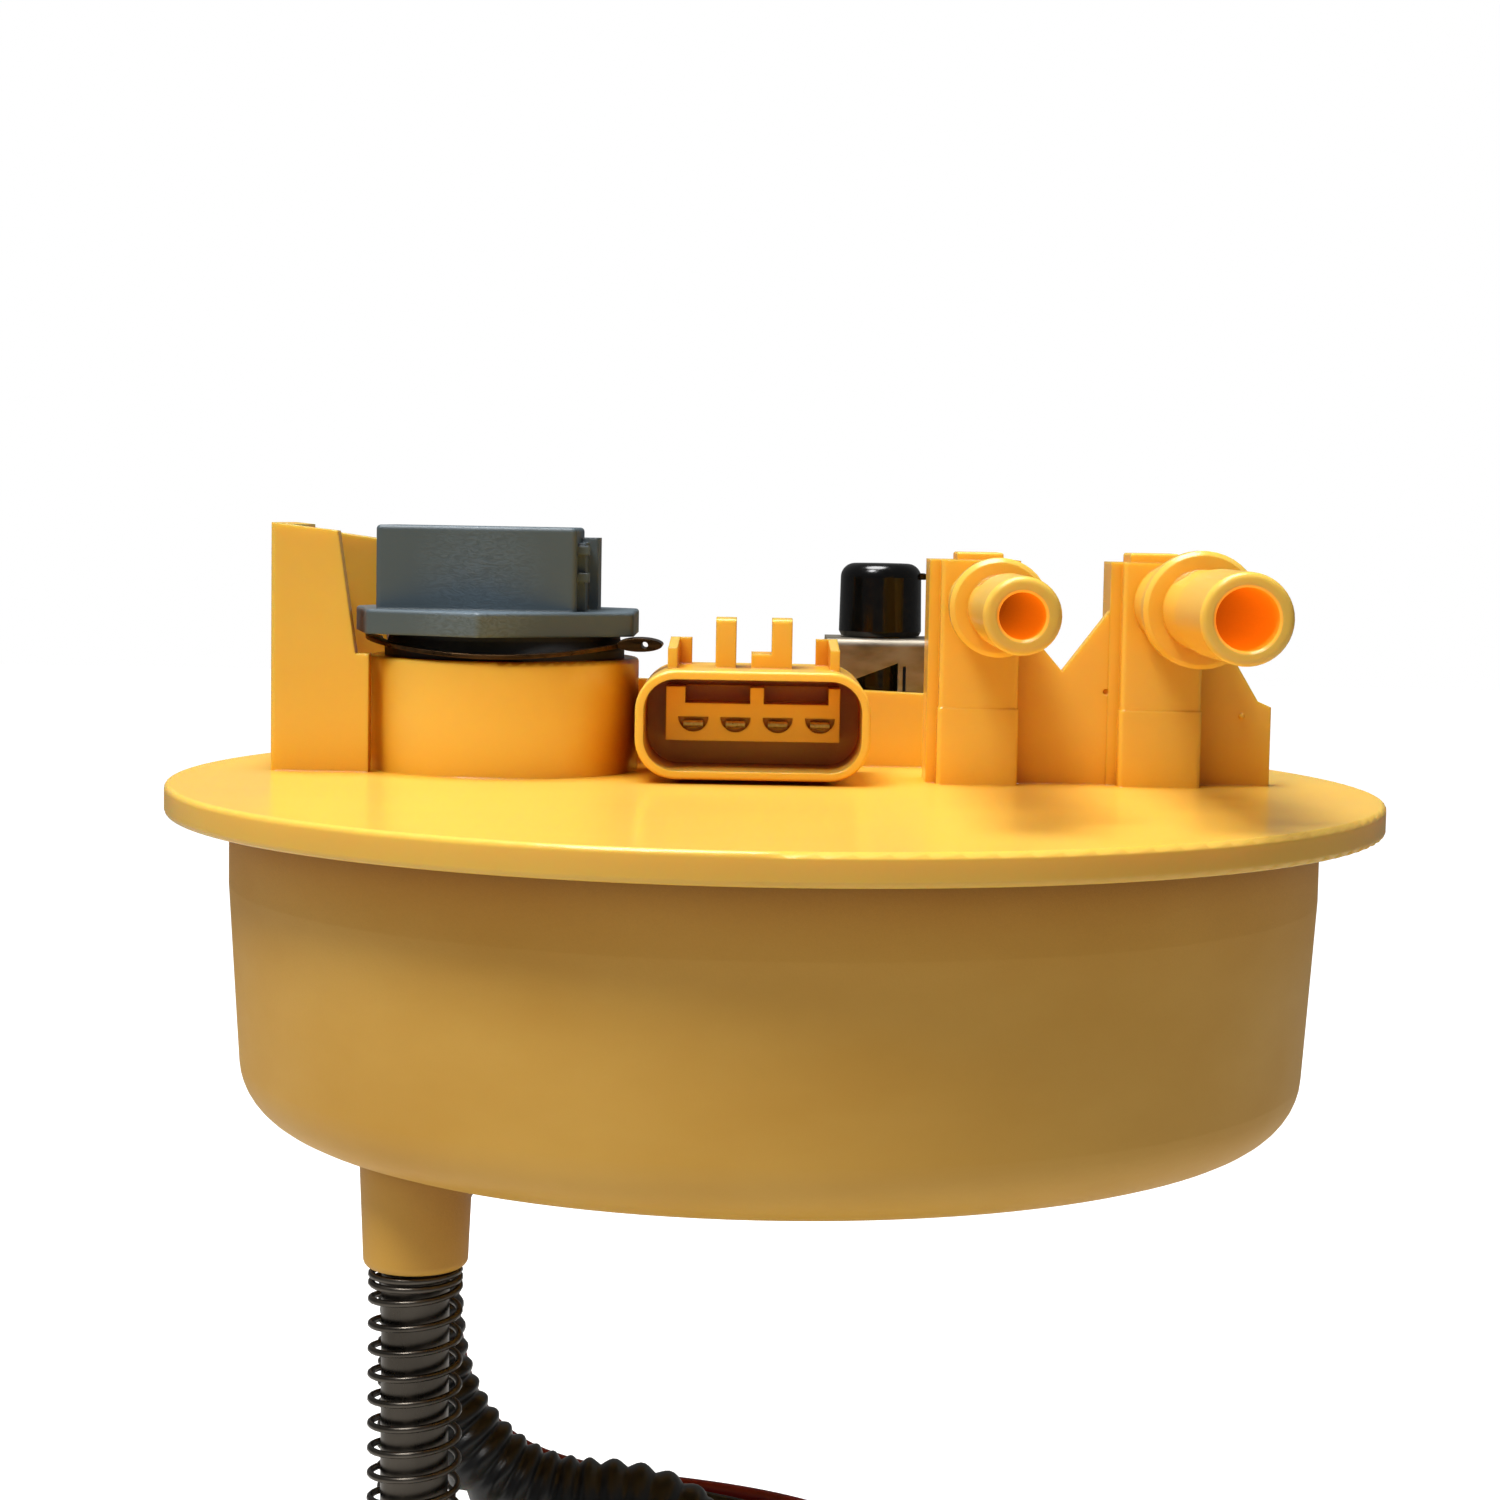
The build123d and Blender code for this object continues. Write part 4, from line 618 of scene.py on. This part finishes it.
def wires(node, route, skins):
    """A node's wires, one of each skin, held 1 mm above the point where they leave their plug."""
    for i, skin in enumerate(skins):
        points = route(i)
        line = smooth_line(points)
        piece = swept(f"{node}_{i + 1}", line, [wire_r * mm] * len(line), 14, skin)
        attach(piece, "tank_flange")
        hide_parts(node)
        squash_between_bodies(piece)


# Strainer: two sheets of cloth welded round the edge and held apart by a grid inside
corner, weld, shoulder = 9 * mm, 1.8 * mm, 3.5 * mm
cloth_half, wrinkle, wrinkle_size = 0.2 * mm, 0.15 * mm, 7 * mm
across, deep = 72, 48


def sheet_edge(grid):
    """The sheet's edge, once round."""
    return ([grid[i][0] for i in range(across)] + [grid[across][j] for j in range(deep)]
            + [grid[i][deep] for i in range(across, 0, -1)] + [grid[0][j] for j in range(deep, 0, -1)])


def strainer():
    low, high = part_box("strainer_sock")
    centre = (low + high) / 2
    half_x, half_y, half_z = (high - low) / 2
    mesh = bmesh.new()
    edges = []
    for side in (1, -1):
        grid = []
        for i in range(across + 1):
            row = []
            for j in range(deep + 1):
                u, v = 2 * i / across - 1, 2 * j / deep - 1
                x, y = u * half_x, v * half_y
                dx, dy = max(abs(x) - half_x + corner, 0), max(abs(y) - half_y + corner, 0)
                reach = (dx * dx + dy * dy) ** 0.5
                if reach > corner:
                    x -= (dx - dx * corner / reach) * (1 if x > 0 else -1)
                    y -= (dy - dy * corner / reach) * (1 if y > 0 else -1)
                    reach = corner
                inner = min(half_x - abs(x), half_y - abs(y)) if reach == 0 else corner - reach
                rise = max(min((inner - weld) / shoulder, 1.0), 0.0)
                puff = wrinkle * noise.noise(Vector((x, y, side)) / wrinkle_size)
                height = cloth_half + (half_z - 2 * cloth_half + puff) * (rise * (2 - rise)) ** 0.7
                z = centre.z + side * min(height, half_z)
                row.append(mesh.verts.new((centre.x + x, centre.y + y, z)))
            grid.append(row)
        edges.append(sheet_edge(grid))
        for i in range(across):
            for j in range(deep):
                mesh.faces.new((grid[i][j], grid[i + 1][j], grid[i + 1][j + 1], grid[i][j + 1]))
    upper, lower = edges
    for k in range(len(upper)):
        n = (k + 1) % len(upper)
        mesh.faces.new((upper[k], upper[n], lower[n], lower[k]))
    piece = new_piece("strainer_bag", mesh, finishes["mesh_fabric"])
    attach(piece, "reservoir_unit")
    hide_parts("strainer_sock")


# Floor and backdrop in one pale sheet, which fades to the white of the sky from 0.15 to 0.6 m away
def floor_and_sky():
    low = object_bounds()[0]
    bpy.ops.mesh.primitive_plane_add(size=8, location=(0, 0, low.z - 0.1 * mm))
    floor = bpy.context.object
    floor.name = "floor"
    material, tree, shader, place = surface("pale floor", "#C9C7C3", 0.9)
    shader.inputs["Specular IOR Level"].default_value = 0.0
    direct = add(tree, "LightPath").outputs["Is Camera Ray"]
    away = add(tree, "VectorMath", {0: place}, operation="LENGTH").outputs["Value"]
    glow = product(tree, direct, spread(tree, away, 0.62, 1.0, 0.15, 0.6))
    shader.inputs["Emission Color"].default_value = linear("#FFFFFF")
    tree.links.new(glow, shader.inputs["Emission Strength"])
    floor.data.materials.append(material)

    world = bpy.data.worlds.new("studio")
    bpy.context.scene.world = world
    world.use_nodes = True
    tree = world.node_tree
    tree.nodes.clear()
    # white to the eye, a dim room to the surfaces and their reflections
    direct = add(tree, "LightPath").outputs["Is Camera Ray"]
    strength = spread(tree, direct, 0.14, 1.0, 0.0, 1.0)
    sky = add(tree, "Background", {"Color": linear("#FFFFFF"), "Strength": strength})
    add(tree, "OutputWorld", {"Surface": sky.outputs[0]})


# A broad soft lamp above and a smaller one high up in front at the left
def lamp(name, place, aim, size, watts):
    light = bpy.data.lights.new(name, "AREA")
    light.shape = "DISK"
    light.size = size
    light.energy = watts
    holder = bpy.data.objects.new(name, light)
    holder.location = place
    holder.rotation_euler = (Vector(aim) - Vector(place)).to_track_quat("-Z", "Y").to_euler()
    bpy.context.scene.collection.objects.link(holder)


def lamps():
    lamp("ceiling", (-0.15, 0.05, 1.1), aim=(0, 0, 0), size=0.6, watts=16.0)
    lamp("window", (-0.5, -0.55, 1.15), aim=(0, 0, -0.02), size=0.4, watts=10.5)


# Camera: 2800 pixels of focal length on a 1500 pixel frame, a little above the plate and tilted down by 4.7
# degrees. Both angles are in radians.
camera_place = (-2.912 * mm, -326.61 * mm, 33.86 * mm)
camera_pitch = 0.08185
camera_roll = 0.01775
focal_pixels, frame_pixels, sensor_width = 2800, 1500, 36.0


def camera():
    data = bpy.data.cameras.new("camera")
    data.sensor_width = sensor_width
    data.lens = sensor_width * focal_pixels / frame_pixels
    data.clip_start = 0.01
    data.clip_end = 50
    p, r = camera_pitch, camera_roll
    right = Vector((cos(r), sin(r) * sin(p), sin(r) * cos(p)))
    forward = Vector((0, cos(p), -sin(p)))
    up = Vector((-sin(r), cos(r) * sin(p), cos(r) * cos(p)))
    matrix = Matrix((right, up, -forward)).transposed().to_4x4()
    matrix.translation = Vector(camera_place)
    holder = bpy.data.objects.new("camera", data)
    bpy.context.scene.collection.objects.link(holder)
    holder.matrix_world = matrix
    bpy.context.scene.camera = holder


bpy.context.scene.view_settings.view_transform = "Standard"
dress_cad_nodes()
for place in ("front", "rear"):
    rod_spring(place)
supply_hose()
wires("power_wires", power_wire, [finishes["wire_skin"], wire_skin("red wire skin", "#7E1512", "#A01E19")])
wires("sender_wires", sender_wire, [wire_skin("brown wire skin", "#4A2A18", "#5F3822"),
                                    wire_skin("yellow wire skin", "#B8931F", "#D1AA2C")])
strainer()
floor_and_sky()
lamps()
camera()
